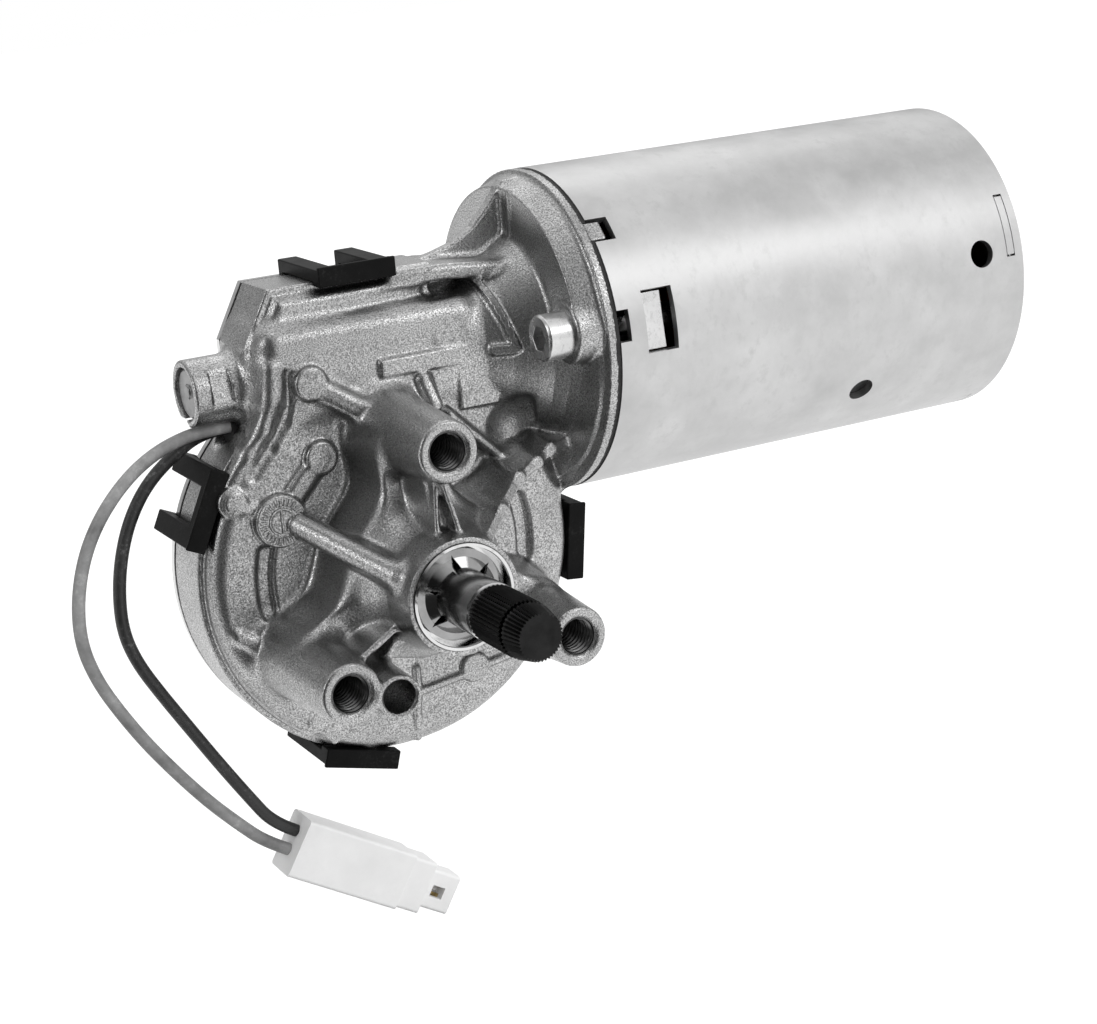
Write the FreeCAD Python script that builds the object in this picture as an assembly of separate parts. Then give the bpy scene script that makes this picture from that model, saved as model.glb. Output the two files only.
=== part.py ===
import FreeCAD, Part
import math
import os
from FreeCAD import Vector

os.makedirs("parts", exist_ok=True)

# Millimetres. The output shaft turns about the Y axis and points to -Y. The motor lies along +X.
# The origin is the centre of the three pillar faces, so y = 0 is the mounting plane.

# Clearances
running_gap = 0.03
press_gap = 0.02
seat_gap = 0.05
slide_gap = 0.1

# Worm gearing
gear_module = 1.2
wheel_tooth_count = 60
worm_pitch_radius = 5.6
worm_half_length = 13.0
wheel_face_width = 10.0
flank_gap = 0.10
tooth_tip_gap = 0.25
pressure_angle = math.radians(20)
root_depth = 1.25 * gear_module
wheel_pitch_radius = gear_module * wheel_tooth_count / 2
wheel_tip_radius = wheel_pitch_radius + gear_module - tooth_tip_gap / 2
worm_tip_radius = worm_pitch_radius + gear_module - tooth_tip_gap / 2
centre_distance = wheel_pitch_radius + worm_pitch_radius
lead_slope = gear_module / (2 * worm_pitch_radius)

# Motor axis, which is also the worm axis
motor_y = 42.7
motor_z = centre_distance

# Mounting pillars
pillar_circle_radius = 30.0
pillar_angles = (90, 210, 330)
pillar_face_radius = 6.4
pillar_root_radius = 8.8
pillar_thread_radius = 4.0
pillar_thread_depth = 20.0
small_pillar_circle_radius = 23.9
small_pillar_angle = 229.2
small_pillar_radius = 4.7
small_pillar_flare = 0.9
small_pillar_bore = 3.5
small_pillar_depth = 16.0

# Gear housing
wall = 3.4
chamber_gap = 2.6
rim_half_depth = 6.9
face_step = 5.3
face_inset = 4.7
face_edge_step = 1.2
housing_radius = wheel_pitch_radius + gear_module + chamber_gap + wall
rim_front_y = motor_y - rim_half_depth
rim_rear_y = motor_y + rim_half_depth
face_y = rim_front_y - face_step
floor_y = face_y + wall
face_radius = housing_radius - face_inset
rib_sink = 1.0
cut_margin = 1.0

# Hub round the output shaft
hub_front_y = -1.0
hub_front_radius = 12.3
hub_nose_length = 9.0
hub_nose_taper = 0.6
hub_root_taper = 3.3
platform_setback = 18.6
platform_margin = 4.1
platform_taper = 2.2
platform_arm_width = 14.8
hub_wall_crest = 7.0

# Block over the worm, and the closed end of the worm tube
worm_tube_radius = 13.0
worm_room = 0.9
block_left_x = -worm_half_length - 14.2
block_right_x = worm_half_length + 1.0
block_height = 19.9
block_shoulder_height = 8.4
block_corner_length = 6.2
block_face_inset = 2.2
block_foot_z = 20.0
block_top_z = motor_z + block_height
block_shoulder_z = motor_z + block_shoulder_height
block_corner_x = block_left_x + block_corner_length
armature_shaft_radius = 4.0
tip_bush_wall = 1.6
cap_wall = 1.5
cap_reach = 11.5
cap_flat_length = 4.5
cap_flat_depth = 1.0
cap_root_flare = 4.2
cap_root_length = 8.0
cap_radius = armature_shaft_radius + tip_bush_wall + cap_wall
cap_end_x = block_left_x - cap_reach

# Motor can and flange
can_radius = 35.6
can_length = 106.7
can_wall = 1.8
flange_step = 0.2
flange_thickness = 6.0
flange_overlap = 5.2
flange_edge_length = 2.0
plateau_step = 1.2
plateau_margin = 2.9
plateau_taper = 1.6
low_face_step = 2.7
low_face_margin = 6.8
brush_room_depth = 2.0
seal_thickness = 0.9
can_inner_radius = can_radius - can_wall
flange_radius = can_radius - flange_step
flange_front_x = housing_radius - flange_overlap
flange_rear_x = flange_front_x + flange_thickness
can_near_x = flange_rear_x + seal_thickness
can_far_x = can_near_x + can_length

# Screws and nuts that hold the can
screw_radius = 3.0
screw_hole_gap = 0.2
screw_head_radius = 5.0
screw_head_height = 6.0
screw_head_chamfer = 0.5
screw_socket_width = 5.0
screw_socket_depth = 3.6
screw_end_length = 3.0
screw_edge_distance = 7.8
screw_angle = 171.4
screw_lug_radius = 6.6
screw_lug_height = 2.0
nut_thickness = 5.2
window_distance = 6.5
window_spare_length = 2.2
window_spare_angle = 0.6
screw_circle_radius = flange_radius - screw_edge_distance
screw_lug_front_x = flange_front_x - screw_lug_height
nut_width = 2 * (can_inner_radius - slide_gap - screw_circle_radius)
window_near_x = can_near_x + window_distance
window_far_x = window_near_x + nut_thickness + window_spare_length
window_half_angle = math.degrees(math.atan(nut_width / 2 / can_inner_radius)) + window_spare_angle

# Notches, holes and end slots of the can
key_angle = 136.4
key_half_angle = 3.8
key_length = 3.0
key_notch_length = 5.0
key_notch_spare_angle = 0.85
screw_notch_length = 2.7
screw_notch_half_angle = 5.45
near_hole_distance = 64.8
near_hole_angle = 215.6
near_hole_radius = 3.0
far_hole_distance = 95.2
far_hole_angle = 169.7
far_hole_radius = 3.1
slot_distance = 4.5
slot_width = 2.3
slot_angle = 160.7
slot_half_angle = 11.7
slot_spare_angle = 0.6

# End plate of the can, with its bush
end_plate_thickness = 2.2
end_boss_depth = 6.1
end_boss_radius = 9.0
end_dome_height = 3.1
end_dome_radius = 15.0
end_bush_wall = 3.2
end_bush_length = 7.8
end_bush_shoulder = 1.5
retainer_thickness = 0.6
retainer_fingers = 6
end_plate_near_x = can_far_x - slot_distance + slide_gap
end_boss_near_x = end_plate_near_x - end_boss_depth
end_bush_near_x = end_boss_near_x + retainer_thickness
end_bush_radius = armature_shaft_radius + end_bush_wall

# Output shaft and its bearings
shaft_radius = 6.0
serration_start_y = -14.6
serration_length = 12.6
serration_groove_width = 1.0
serration_groove_depth = 0.8
serration_count = 40
serration_depth = 0.45
shaft_collar_width = 0.9
shaft_collar_step = 0.35
shaft_tip_length = 5.2
shaft_tip_radius = 4.9
shaft_chamfer = 0.8
bush_wall = 2.4
bush_spacing = 2.6
front_bush_length = 11.4
cup_radius = 11.2
cup_wall = 0.7
cup_depth = 4.6
star_radius = 9.6
star_notches = 6
star_thickness = 0.7
star_dish = 1.4
star_setback = 2.6
star_turn = 38
thrust_washer_gap = 0.15
serration_groove_y = serration_start_y - serration_length
shaft_tip_y = serration_groove_y - serration_groove_width - shaft_tip_length
shaft_rear_y = rim_rear_y + 0.6
front_bush_start = hub_front_y + cup_depth
front_bush_end = front_bush_start + front_bush_length
rear_bush_start = front_bush_end + bush_spacing

# Worm wheel and its hub
hub_ring_radius = 10.0
hub_nose_wall = 2.2
wheel_rim_depth = 5.2
wheel_sleeve = 3.0
wheel_web_thickness = 4.0
wheel_rib_width = 2.4
wheel_rib_count = 8

# Ball bearing
bearing_width = 7.0
bearing_radius = 11.0
bearing_ring_wall = 2.0
bearing_setback = 0.4
ball_radius = 2.0
ball_count = 7
ball_circle_radius = 7.5
cage_half_wall = 0.7
bearing_retainer_thickness = 0.8
bearing_near_x = flange_front_x - bearing_setback - bearing_width
bearing_far_x = bearing_near_x + bearing_width

# Armature and magnets
armature_tip_gap = 0.5
plug_recess = 0.7
plug_length = 3.9
core_distance = 29.1
core_length = 46.0
core_slots = 12
slot_mouth = 2.2
slot_tip_depth = 2.6
slot_floor_radius = 12.0
slot_floor_half_width = 1.6
slot_tip_half_width = 4.0
winding_gap = 0.15
winding_head_length = 8.0
winding_bore_radius = 6.5
magnet_thickness = 6.88
magnet_length = 52.0
magnet_half_angle = 62.0
magnet_spring_thickness = 0.9
magnet_spring_inset = 4.0
air_gap = 0.7
commutator_distance = 4.6
commutator_length = 14.0
commutator_radius = 12.0
commutator_bars = 12
riser_width = 2.0
riser_height = 1.6
bar_slit_depth = 0.8
bar_slit_width = 0.6
plug_end_x = cap_end_x + plug_recess + plug_length
armature_tip_x = plug_end_x + armature_tip_gap
armature_rear_x = end_bush_near_x + end_bush_length - 3.4
core_near_x = can_near_x + core_distance
core_far_x = core_near_x + core_length
core_middle_x = (core_near_x + core_far_x) / 2
magnet_outer_radius = can_inner_radius - press_gap
magnet_inner_radius = magnet_outer_radius - magnet_thickness
core_radius = magnet_inner_radius - air_gap
commutator_near_x = can_near_x + commutator_distance
commutator_far_x = commutator_near_x + commutator_length
riser_near_x = commutator_far_x - riser_width

# Brush gear
brush_plate_margin = 3.3
brush_plate_thickness = 2.4
brush_plate_skirt = 1.6
brush_plate_hole_radius = 16.0
brush_width = 6.0
brush_length = 8.0
brush_height = 9.0
brush_angle = 81.4
brush_gap = 0.05
holder_wall = 0.8
holder_inset = 1.0
spring_coil_radius = 2.0
spring_wire = 0.6
spring_coils = 4
choke_radius = 2.4
choke_winding_gap = 2.4
choke_inset = 7.5
brush_plate_radius = can_inner_radius - brush_plate_margin
holder_outer_radius = brush_plate_radius - holder_inset
brush_middle_x = (commutator_near_x + riser_near_x) / 2
holder_near_x = brush_middle_x - brush_length / 2 - slide_gap - holder_wall
choke_end_x = core_near_x - winding_head_length - choke_winding_gap

# Cover, gasket and clips
gasket_thickness = 0.6
gasket_inset = 0.4
cover_thickness = 1.6
cover_pan_depth = 5.2
cover_pan_inset = 4.8
cover_boss_radius = 11.0
cover_boss_height = 2.2
button_radius = 7.0
button_tip_radius = 3.0
button_tip_length = 1.2
button_gap = 0.3
clip_length = 17.5
clip_thickness = 2.7
clip_bar_width = 3.6
clip_notch_width = 8.6
clip_hook = 1.8
clip_hook_thickness = 2.4
clip_lip = 0.9
clip_flange_gap = 2.5
left_clip_angle = 154.8
low_clip_angle = 254.2
right_clip_drop = clip_length / 2 + clip_flange_gap - (motor_z - flange_radius)
right_clip_angle = -math.degrees(math.asin(right_clip_drop / housing_radius))
top_clip_x = -2.0
cover_front_y = rim_rear_y + gasket_thickness

# Lead grommet, in the left wall just under the worm tube
grommet_radius = 3.2
grommet_y = 45.6
grommet_drop = 9.4
grommet_lip_radius = 3.9
grommet_lip_thickness = 1.0
grommet_length = 4.4
grommet_stand = 0.6
grommet_wall_half = 6.0
grommet_wall_depth = 5.2
grommet_z = motor_z - grommet_drop
grommet_outer_x = -math.sqrt(housing_radius ** 2 - grommet_z ** 2) - grommet_stand
grommet_lip_x = grommet_outer_x + grommet_lip_thickness
grommet_inner_x = grommet_outer_x + grommet_length

# Leads and connector
lead_radius = 1.38
lead_pitch = 4.4
lead_offset = 1.6
connector_length = 34.5
connector_height = 13.2
connector_depth = 9.6
connector_edge = 0.8
collar_length = 6.2
collar_step = 1.0
nose_length = 7.6
nose_height = 9.2
nose_depth = 7.0
connector_slope = -31.9
connector_shift = (1.5, -5.6, -92.8)
cell_pitch = 4.4
cell_height = 3.2
cell_depth = 3.4
cell_length = 14.0
latch_window_distance = 1.6
latch_window_length = 3.2
latch_window_height = 2.7
blade_thickness = 0.8
blade_width = 2.2
blade_setback = 2.0

along_x = Vector(1, 0, 0)
along_y = Vector(0, 1, 0)
origin = Vector(0, 0, 0)
motor_point = Vector(0, motor_y, motor_z)
lead_exit = Vector(grommet_outer_x, grommet_y, grommet_z)
connector_entry = lead_exit + Vector(*connector_shift)


def box_between(x_range, y_range, z_range):
    corner = Vector(x_range[0], y_range[0], z_range[0])
    return Part.makeBox(x_range[1] - x_range[0], y_range[1] - y_range[0], z_range[1] - z_range[0], corner)


def rod_x(radius, start, end, y=motor_y, z=motor_z):
    return Part.makeCylinder(radius, end - start, Vector(start, y, z), along_x)


def rod_y(radius, start, end, x=0.0, z=0.0):
    return Part.makeCylinder(radius, end - start, Vector(x, start, z), along_y)


def ring_x(outer, inner, start, end):
    return rod_x(outer, start, end).cut(rod_x(inner, start, end))


def ring_y(outer, inner, start, end):
    return rod_y(outer, start, end).cut(rod_y(inner, start, end))


def taper_y(start_radius, end_radius, start, end, x=0.0, z=0.0):
    return Part.makeCone(start_radius, end_radius, end - start, Vector(x, start, z), along_y)


def closed_face(rows, place):
    """A face from rows (a, b), or rows (a, b, c, d) for an arc through (a, b) to (c, d)."""
    last = place(*rows[0])
    edges = []
    for row in rows[1:] + rows[:1]:
        end = place(*row[-2:])
        if len(row) == 4:
            edges.append(Part.Arc(last, place(*row[:2]), end).toShape())
        else:
            edges.append(Part.LineSegment(last, end).toShape())
        last = end
    return Part.Face(Part.Wire(edges))


def turned_x(rows, angle=360):
    """A solid turned about the motor axis from (x, radius) rows, starting at +Y."""
    face = closed_face(rows, lambda x, radius: Vector(x, motor_y + radius, motor_z))
    return face.revolve(motor_point, along_x, angle)


def turned_y(rows):
    """A solid turned about the output axis from (y, radius) rows."""
    return closed_face(rows, lambda y, radius: Vector(radius, y, 0)).revolve(origin, along_y, 360)


def plate_xz(rows, start, end):
    """A plate with an outline of (x, z) rows, from y = start to y = end."""
    return closed_face(rows, lambda x, z: Vector(x, start, z)).extrude(Vector(0, end - start, 0))


def joined(shapes):
    """One solid from shapes that run into each other."""
    return shapes[0].multiFuse(shapes[1:]).removeSplitter()


def turned_about_motor(shape, angle):
    copy = shape.copy()
    copy.rotate(motor_point, along_x, angle)
    return copy


def turned_about_output(shape, angle):
    """Turn from +X towards +Z as seen from the front."""
    copy = shape.copy()
    copy.rotate(origin, along_y, -angle)
    return copy


def motor_place(radius, angle):
    """The (y, z) of a point round the motor axis, with 0 degrees towards +Y."""
    turn = math.radians(angle)
    return motor_y + radius * math.cos(turn), motor_z + radius * math.sin(turn)


def output_place(radius, angle):
    """The (x, z) of a point round the output axis, with 0 degrees towards +X."""
    turn = math.radians(angle)
    return radius * math.cos(turn), radius * math.sin(turn)


def motor_sector(x_range, radius_range, middle_angle, half_angle):
    """A piece of a ring round the motor axis."""
    start, end = x_range
    inner, outer = radius_range
    sector = turned_x([(start, inner), (end, inner), (end, outer), (start, outer)], 2 * half_angle)
    return turned_about_motor(sector, middle_angle - half_angle)


def wall_sector(x_range, middle_angle, half_angle):
    """A cutter that passes through the can's wall."""
    return motor_sector(x_range, (can_inner_radius - can_wall, can_radius + can_wall), middle_angle, half_angle)


def block_outline(inset, right_x):
    """The upper part of the housing outline, drawn inwards by inset."""
    return [
        (block_left_x + inset, block_foot_z),
        (block_left_x + inset, block_shoulder_z),
        (block_corner_x + inset * 0.6, block_top_z - inset),
        (right_x, block_top_z - inset),
        (right_x, block_foot_z),
    ]


def housing_prism(inset, start, end):
    """The wheel circle and the upper block as one prism."""
    disc = rod_y(housing_radius - inset, start, end)
    block = plate_xz(block_outline(inset, block_right_x - inset), start, end)
    return disc.fuse(block).removeSplitter()


def screw_places():
    return [motor_place(screw_circle_radius, screw_angle + turn) for turn in (0, 180)]


def pillar_places():
    return [output_place(pillar_circle_radius, angle) for angle in pillar_angles]


def small_pillar_place():
    return output_place(small_pillar_circle_radius, small_pillar_angle)


def pillars():
    shapes = [taper_y(pillar_face_radius, pillar_root_radius, 0, floor_y, x, z) for x, z in pillar_places()]
    x, z = small_pillar_place()
    small = taper_y(small_pillar_radius, small_pillar_radius + small_pillar_flare, 0, floor_y, x, z)
    return shapes + [small]


def pillar_holes():
    shapes = [rod_y(pillar_thread_radius, -cut_margin, pillar_thread_depth, x, z) for x, z in pillar_places()]
    x, z = small_pillar_place()
    return shapes + [rod_y(small_pillar_bore, -cut_margin, small_pillar_depth, x, z)]


def hub_body():
    """The hub: a straight nose that widens a little towards its root."""
    nose_y = hub_front_y + hub_nose_length
    nose_radius = hub_front_radius + hub_nose_taper
    return turned_y([
        (hub_front_y, 0),
        (hub_front_y, hub_front_radius),
        (nose_y, nose_radius),
        (floor_y, hub_front_radius + hub_root_taper),
        (floor_y, 0),
    ])


def hub_platform():
    """The lower step of the hub, with a broad arm to each pillar."""
    front_y = hub_front_y + platform_setback
    radius = hub_front_radius + platform_margin
    shapes = [taper_y(radius, radius + platform_taper, front_y, floor_y)]
    for x, z in pillar_places():
        shapes.append(rib_on_face((0, 0), (0.86 * x, 0.86 * z), platform_arm_width, face_y - front_y))
    return shapes


def neck_body():
    """The neck that widens like a trumpet from the worm tube to the motor flange."""
    start_x = block_right_x - cut_margin
    lug_radius = screw_circle_radius - screw_head_radius - slide_gap
    middle_x = (start_x + screw_lug_front_x) / 2
    middle_radius = worm_tube_radius + 0.38 * (lug_radius - worm_tube_radius)
    face_x = flange_front_x + low_face_step
    face_inner_radius = flange_radius - low_face_margin
    bend_x = (screw_lug_front_x + face_x) / 2 + 0.3
    bend_radius = (lug_radius + face_inner_radius) / 2 - 0.3
    edge_x = flange_rear_x - flange_edge_length
    return turned_x([
        (start_x, 0),
        (start_x, worm_tube_radius),
        (middle_x, middle_radius, screw_lug_front_x, lug_radius),
        (bend_x, bend_radius, face_x, face_inner_radius),
        (face_x + 0.5, flange_radius - plateau_margin),
        (edge_x, flange_radius - plateau_margin + 0.6),
        (edge_x, flange_radius),
        (flange_rear_x, flange_radius),
        (flange_rear_x, 0),
    ])


def flange_plateau():
    """The thick upper half of the flange, above the line of the two screws."""
    front_x = flange_front_x - plateau_step
    edge_x = flange_rear_x - flange_edge_length
    radius = flange_radius - plateau_margin
    half_ring = turned_x([(front_x, 0), (front_x, radius), (edge_x, radius + plateau_taper), (edge_x, 0)], 180)
    return turned_about_motor(half_ring, screw_angle - 180)


def rib_on_face(start, end, width, height, root_y=face_y + rib_sink):
    """A straight rib with round ends, between two (x, z) points on the housing face."""
    length = math.dist(start, end)
    front_y = face_y - height
    rib = box_between((0, length), (front_y, root_y), (-width / 2, width / 2))
    rib = rib.fuse([rod_y(width / 2, front_y, root_y), rod_y(width / 2, front_y, root_y, length)])
    rib.rotate(origin, along_y, -math.degrees(math.atan2(end[1] - start[1], end[0] - start[0])))
    rib.translate(Vector(start[0], 0, start[1]))
    return rib


def wall_under(start, end, width):
    """A thin wall under a sloping crest between two points, down to the housing face."""
    length = math.hypot(end.x - start.x, end.z - start.z)
    root_y = face_y + rib_sink
    corners = [Vector(0, start.y, 0), Vector(length, end.y, 0), Vector(length, root_y, 0), Vector(0, root_y, 0)]
    wall_face = Part.Face(Part.makePolygon(corners + corners[:1]))
    shape = wall_face.extrude(Vector(0, 0, width))
    shape.translate(Vector(0, 0, -width / 2))
    shape.rotate(origin, along_y, -math.degrees(math.atan2(end.z - start.z, end.x - start.x)))
    shape.translate(Vector(start.x, 0, start.z))
    return shape


def hub_point(angle, depth, reach=0.0):
    """A point on the hub's nose, depth behind its front and reach outside its edge."""
    x, z = output_place(hub_front_radius + reach, angle)
    return Vector(x, hub_front_y + depth, z)


def point_beside(place, angle, reach, y):
    """A point at height y beside an (x, z) place."""
    turn = math.radians(angle)
    return Vector(place[0] + reach * math.cos(turn), y, place[1] + reach * math.sin(turn))


def hub_walls():
    """The curved wall from the hub to the flange, the thin ribs to the pillars and the round rib to the pad."""
    start = hub_point(38.7, hub_wall_crest, -0.2)
    end = Vector(flange_front_x + 2 * rib_sink, motor_y - 23.7, motor_z - 18.8)
    middle = (start + end) / 2 + Vector(-1.3, 0.7, 1.0)
    top_pillar, left_pillar, right_pillar = pillar_places()
    beside_top = point_beside(top_pillar, 265, 5.0, hub_front_y + 5.5)
    beside_left = point_beside(left_pillar, 32, 5.0, hub_front_y + 8.6)
    beside_right = point_beside(right_pillar, 148, 5.0, hub_front_y + 10)
    pad_x, pad_z = left_pad_place()
    rib_start = Vector(pad_x + 3.4, face_y - 3.0, pad_z - 1.2)
    rib_way = hub_point(153, 6.0, 0.4) - rib_start
    return [
        wall_under(start, middle, 1.8),
        wall_under(middle, end, 1.8),
        rod_y(0.9, middle.y, face_y + rib_sink, middle.x, middle.z),
        wall_under(beside_top, hub_point(100, 5.0, -0.4), 1.2),
        wall_under(beside_top, hub_point(81, 4.0, -0.4), 1.2),
        wall_under(beside_left, hub_point(208, 8.6, -0.4), 1.5),
        wall_under(beside_right, hub_point(332, 10, -0.4), 1.7),
        Part.makeCylinder(2.1, rib_way.Length, rib_start, rib_way),
        Part.makeSphere(2.1, rib_start),
    ]


def left_pad_place():
    return output_place(face_radius - 8.4, 150.3)


def face_pad(place, radius, height):
    """A round ejector pad on the housing face."""
    return rod_y(radius, face_y - height, face_y + rib_sink, *place)


def face_ribs():
    """Ribs, ridges and ejector pads on the front of the housing."""
    left_pad = left_pad_place()
    upper_pad = (-16.3, motor_z + 0.4)
    middle_pad = output_place(pillar_circle_radius + 0.4, 120.4)
    lower_pad = output_place(face_radius - 7.1, -60.7)
    edge_pad = output_place(face_radius + 0.6, 150.4)
    hub_reach = hub_front_radius - 2.3
    tube_end = (block_left_x + 3.6, motor_z - 5.6)
    bend = (block_left_x + 2.2, motor_z - 9.4)
    rim_end = output_place(housing_radius - 2.2, 135.4)
    top_pillar = pillar_places()[0]
    neck_bend = (block_right_x + 11.4, 18.6)
    return [
        face_pad(left_pad, 5.6, 2.5),
        face_pad(upper_pad, 3.6, 2.5),
        face_pad(middle_pad, 3.6, 1.8),
        face_pad(lower_pad, 3.3, 1.1),
        face_pad(edge_pad, 2.6, 0.3),
        rib_on_face(left_pad, middle_pad, 4.2, 1.7),
        rib_on_face(left_pad, edge_pad, 2.6, 0.9),
        rib_on_face(upper_pad, (top_pillar[0] - 3.0, top_pillar[1] + 2.6), 4.4, 4.0),
        rib_on_face(tube_end, bend, 3.0, 1.0),
        rib_on_face(bend, rim_end, 2.8, 0.6),
        rib_on_face(output_place(face_radius - 0.4, 192.4), output_place(face_radius - 5.6, 206.1), 2.8, 1.2),
        rib_on_face(small_pillar_place(), output_place(hub_reach, 229), 2.2, 9.0),
        rib_on_face((block_right_x - 0.5, 30.4), neck_bend, 1.8, 4.2),
        rib_on_face(neck_bend, (neck_bend[0] + 4.6, 19.4), 1.8, 3.4),
    ]


def face_trenches():
    """The shallow ring-shaped trench on the face, left and right of the hub."""
    ring = ring_y(face_radius - 6.4, face_radius - 9.8, face_y - 5.0, face_y + 1.3)
    left = box_between((-face_radius, -0.55 * face_radius), (face_y - 5.0, floor_y), (-face_radius, 9.5))
    right = box_between((0.7 * face_radius, face_radius), (face_y - 5.0, floor_y), (-face_radius, 9.5))
    return [ring.common(left), ring.common(right)]


def block_panels():
    """The squarish front of the worm tube, with a raised bar and a stepped plate on it."""
    front_y = face_y - 0.5
    bulge = box_between((block_left_x + 1.5, block_right_x + 10.0), (front_y, rim_front_y + 4.0),
                        (motor_z - 8.6, motor_z + 12.8))
    corners = [edge for edge in bulge.Edges if abs(edge.Length - bulge.BoundBox.XLength) < seat_gap
               and abs(edge.BoundBox.YMax - front_y) < seat_gap]
    bulge = bulge.makeFillet(4.2, corners)
    bar = box_between((-0.6, block_right_x + 8.0), (front_y - 1.5, rim_front_y), (motor_z - 1.2, motor_z + 2.8))
    plate = box_between((block_right_x + 3.4, block_right_x + 12.6), (front_y - 1.1, rim_front_y),
                        (motor_z - 11.2, motor_z + 1.4))
    return [bulge, bar, plate]


def neck_recess():
    """The round recess in the lower front of the neck."""
    return rod_y(6.6, face_y - 20.0, face_y + 0.1, block_right_x + 15.2, motor_z - 17.0)


def neck_webs():
    """The top wall, the swept gusset, the post, the collar rib and the low rib of the neck."""
    web_front_y = rim_front_y - 2.8
    web_half = 1.5
    web_end_x = flange_front_x + rib_sink
    top_wall = box_between((block_right_x - 2, web_end_x + rib_sink), (web_front_y, rim_rear_y),
                           (block_top_z - wall, block_top_z))
    start_x = block_right_x - rib_sink
    start_z = block_top_z - rib_sink
    run = web_end_x - start_x
    rise = motor_z + flange_radius - 1.6 - start_z
    sweep_x = start_x + 0.54 * run
    sweep_z = start_z + 0.35 * rise
    gusset = plate_xz([(start_x, start_z), (sweep_x, sweep_z, web_end_x, start_z + rise), (web_end_x, start_z)],
                      motor_y - web_half, motor_y + web_half)
    middle_wall = box_between((block_right_x - 2, web_end_x), (motor_y - web_half, motor_y + web_half),
                              (motor_z + 10, start_z))
    post = box_between((flange_front_x - 9, web_end_x), (web_front_y - 2.0, web_front_y + 0.2),
                       (start_z, block_top_z + 11))
    collar = motor_sector((flange_front_x - 9.2, flange_front_x - 7.4),
                          (worm_tube_radius, worm_tube_radius + 8.0), 155, 28)
    foot = box_between((flange_front_x - 10, flange_front_x - 4.8), (motor_y - 21.3, motor_y - 12.0),
                       (motor_z - 1.8, motor_z + 0.2))
    return [top_wall, middle_wall, gusset, post, collar, foot]


def cap_body():
    """The closed end of the worm tube, with two spanner flats and a flared root."""
    cap = rod_x(cap_radius, cap_end_x, block_left_x + cap_root_length)
    flat_end = block_left_x - 1.8
    for side in (-1, 1):
        edge = motor_y + side * (cap_radius - cap_flat_depth)
        y_range = sorted((edge, edge + side * 3 * cap_flat_depth))
        flat = box_between((flat_end - cap_flat_length, flat_end), y_range,
                           (motor_z - cap_radius, motor_z + cap_radius))
        cap = cap.cut(flat)
    root_start = block_left_x - 2.5
    root_end = root_start + cap_root_length
    root = turned_x([(root_start, 0), (root_start, cap_radius), (root_end, cap_radius + cap_root_flare),
                     (root_end, 0)])
    return cap.fuse(root)


def screw_lugs():
    lugs = [rod_x(screw_lug_radius, screw_lug_front_x, flange_rear_x - 0.6, y, z) for y, z in screw_places()]
    reach = rod_x(flange_radius + 1.0, screw_lug_front_x, flange_rear_x)
    return [lug.common(reach) for lug in lugs]


def flange_keys():
    """Two keys on the flange that enter the notches in the can's near edge."""
    x_range = (flange_rear_x - cut_margin, can_near_x + key_length)
    radius_range = (can_inner_radius, flange_radius)
    return [motor_sector(x_range, radius_range, key_angle + turn, key_half_angle) for turn in (0, 180)]


def housing_hollow():
    """Everything that is open inside the housing."""
    open_y = rim_rear_y + cut_margin
    bush_block_end = -worm_half_length - 3.0
    tip_bore = armature_shaft_radius + tip_bush_wall
    chamber = rod_y(housing_radius - wall, floor_y, open_y)
    trough = plate_xz(block_outline(wall, block_right_x - wall), floor_y, open_y)
    bush_block = box_between((block_left_x, bush_block_end), (floor_y - cut_margin, open_y),
                             (motor_z - cap_radius - cap_wall, motor_z + cap_radius + cap_wall))
    grommet_wall = box_between((-housing_radius, -housing_radius * 2 / 3 + grommet_wall_depth),
                               (floor_y - cut_margin, open_y),
                               (grommet_z - grommet_wall_half, grommet_z + grommet_wall_half))
    wheel_room = rod_y(wheel_tip_radius + tooth_tip_gap + 0.7, floor_y, open_y)
    return [
        chamber.cut(grommet_wall),
        wheel_room,
        trough.cut([bush_block, grommet_wall.cut(bush_block)]),
        rod_x(worm_tip_radius + worm_room, bush_block_end - 0.5, worm_half_length + 5.0),
        rod_x(tip_bore, cap_end_x - cut_margin, 0),
        rod_x(armature_shaft_radius + 0.6, 0, flange_rear_x),
        rod_x(bearing_radius, bearing_near_x, flange_rear_x + cut_margin),
        rod_x(brush_plate_radius - 2.0, flange_rear_x - brush_room_depth, flange_rear_x + cut_margin),
        rod_y(shaft_radius + bush_wall, front_bush_start - 0.2, floor_y + cut_margin),
        rod_y(cup_radius, hub_front_y - cut_margin, hub_front_y + cup_depth),
    ]


def screw_holes():
    start = screw_lug_front_x - screw_head_height
    end = flange_rear_x + cut_margin
    return [rod_x(screw_radius + screw_hole_gap, start, end, y, z) for y, z in screw_places()]


def lead_hole():
    """The hole for the grommet, with a wider mouth for its lip."""
    hole = rod_x(grommet_radius, grommet_lip_x, grommet_inner_x + cut_margin, grommet_y, grommet_z)
    mouth = rod_x(grommet_lip_radius, grommet_lip_x - 12, grommet_lip_x, grommet_y, grommet_z)
    return hole.fuse(mouth)


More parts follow.
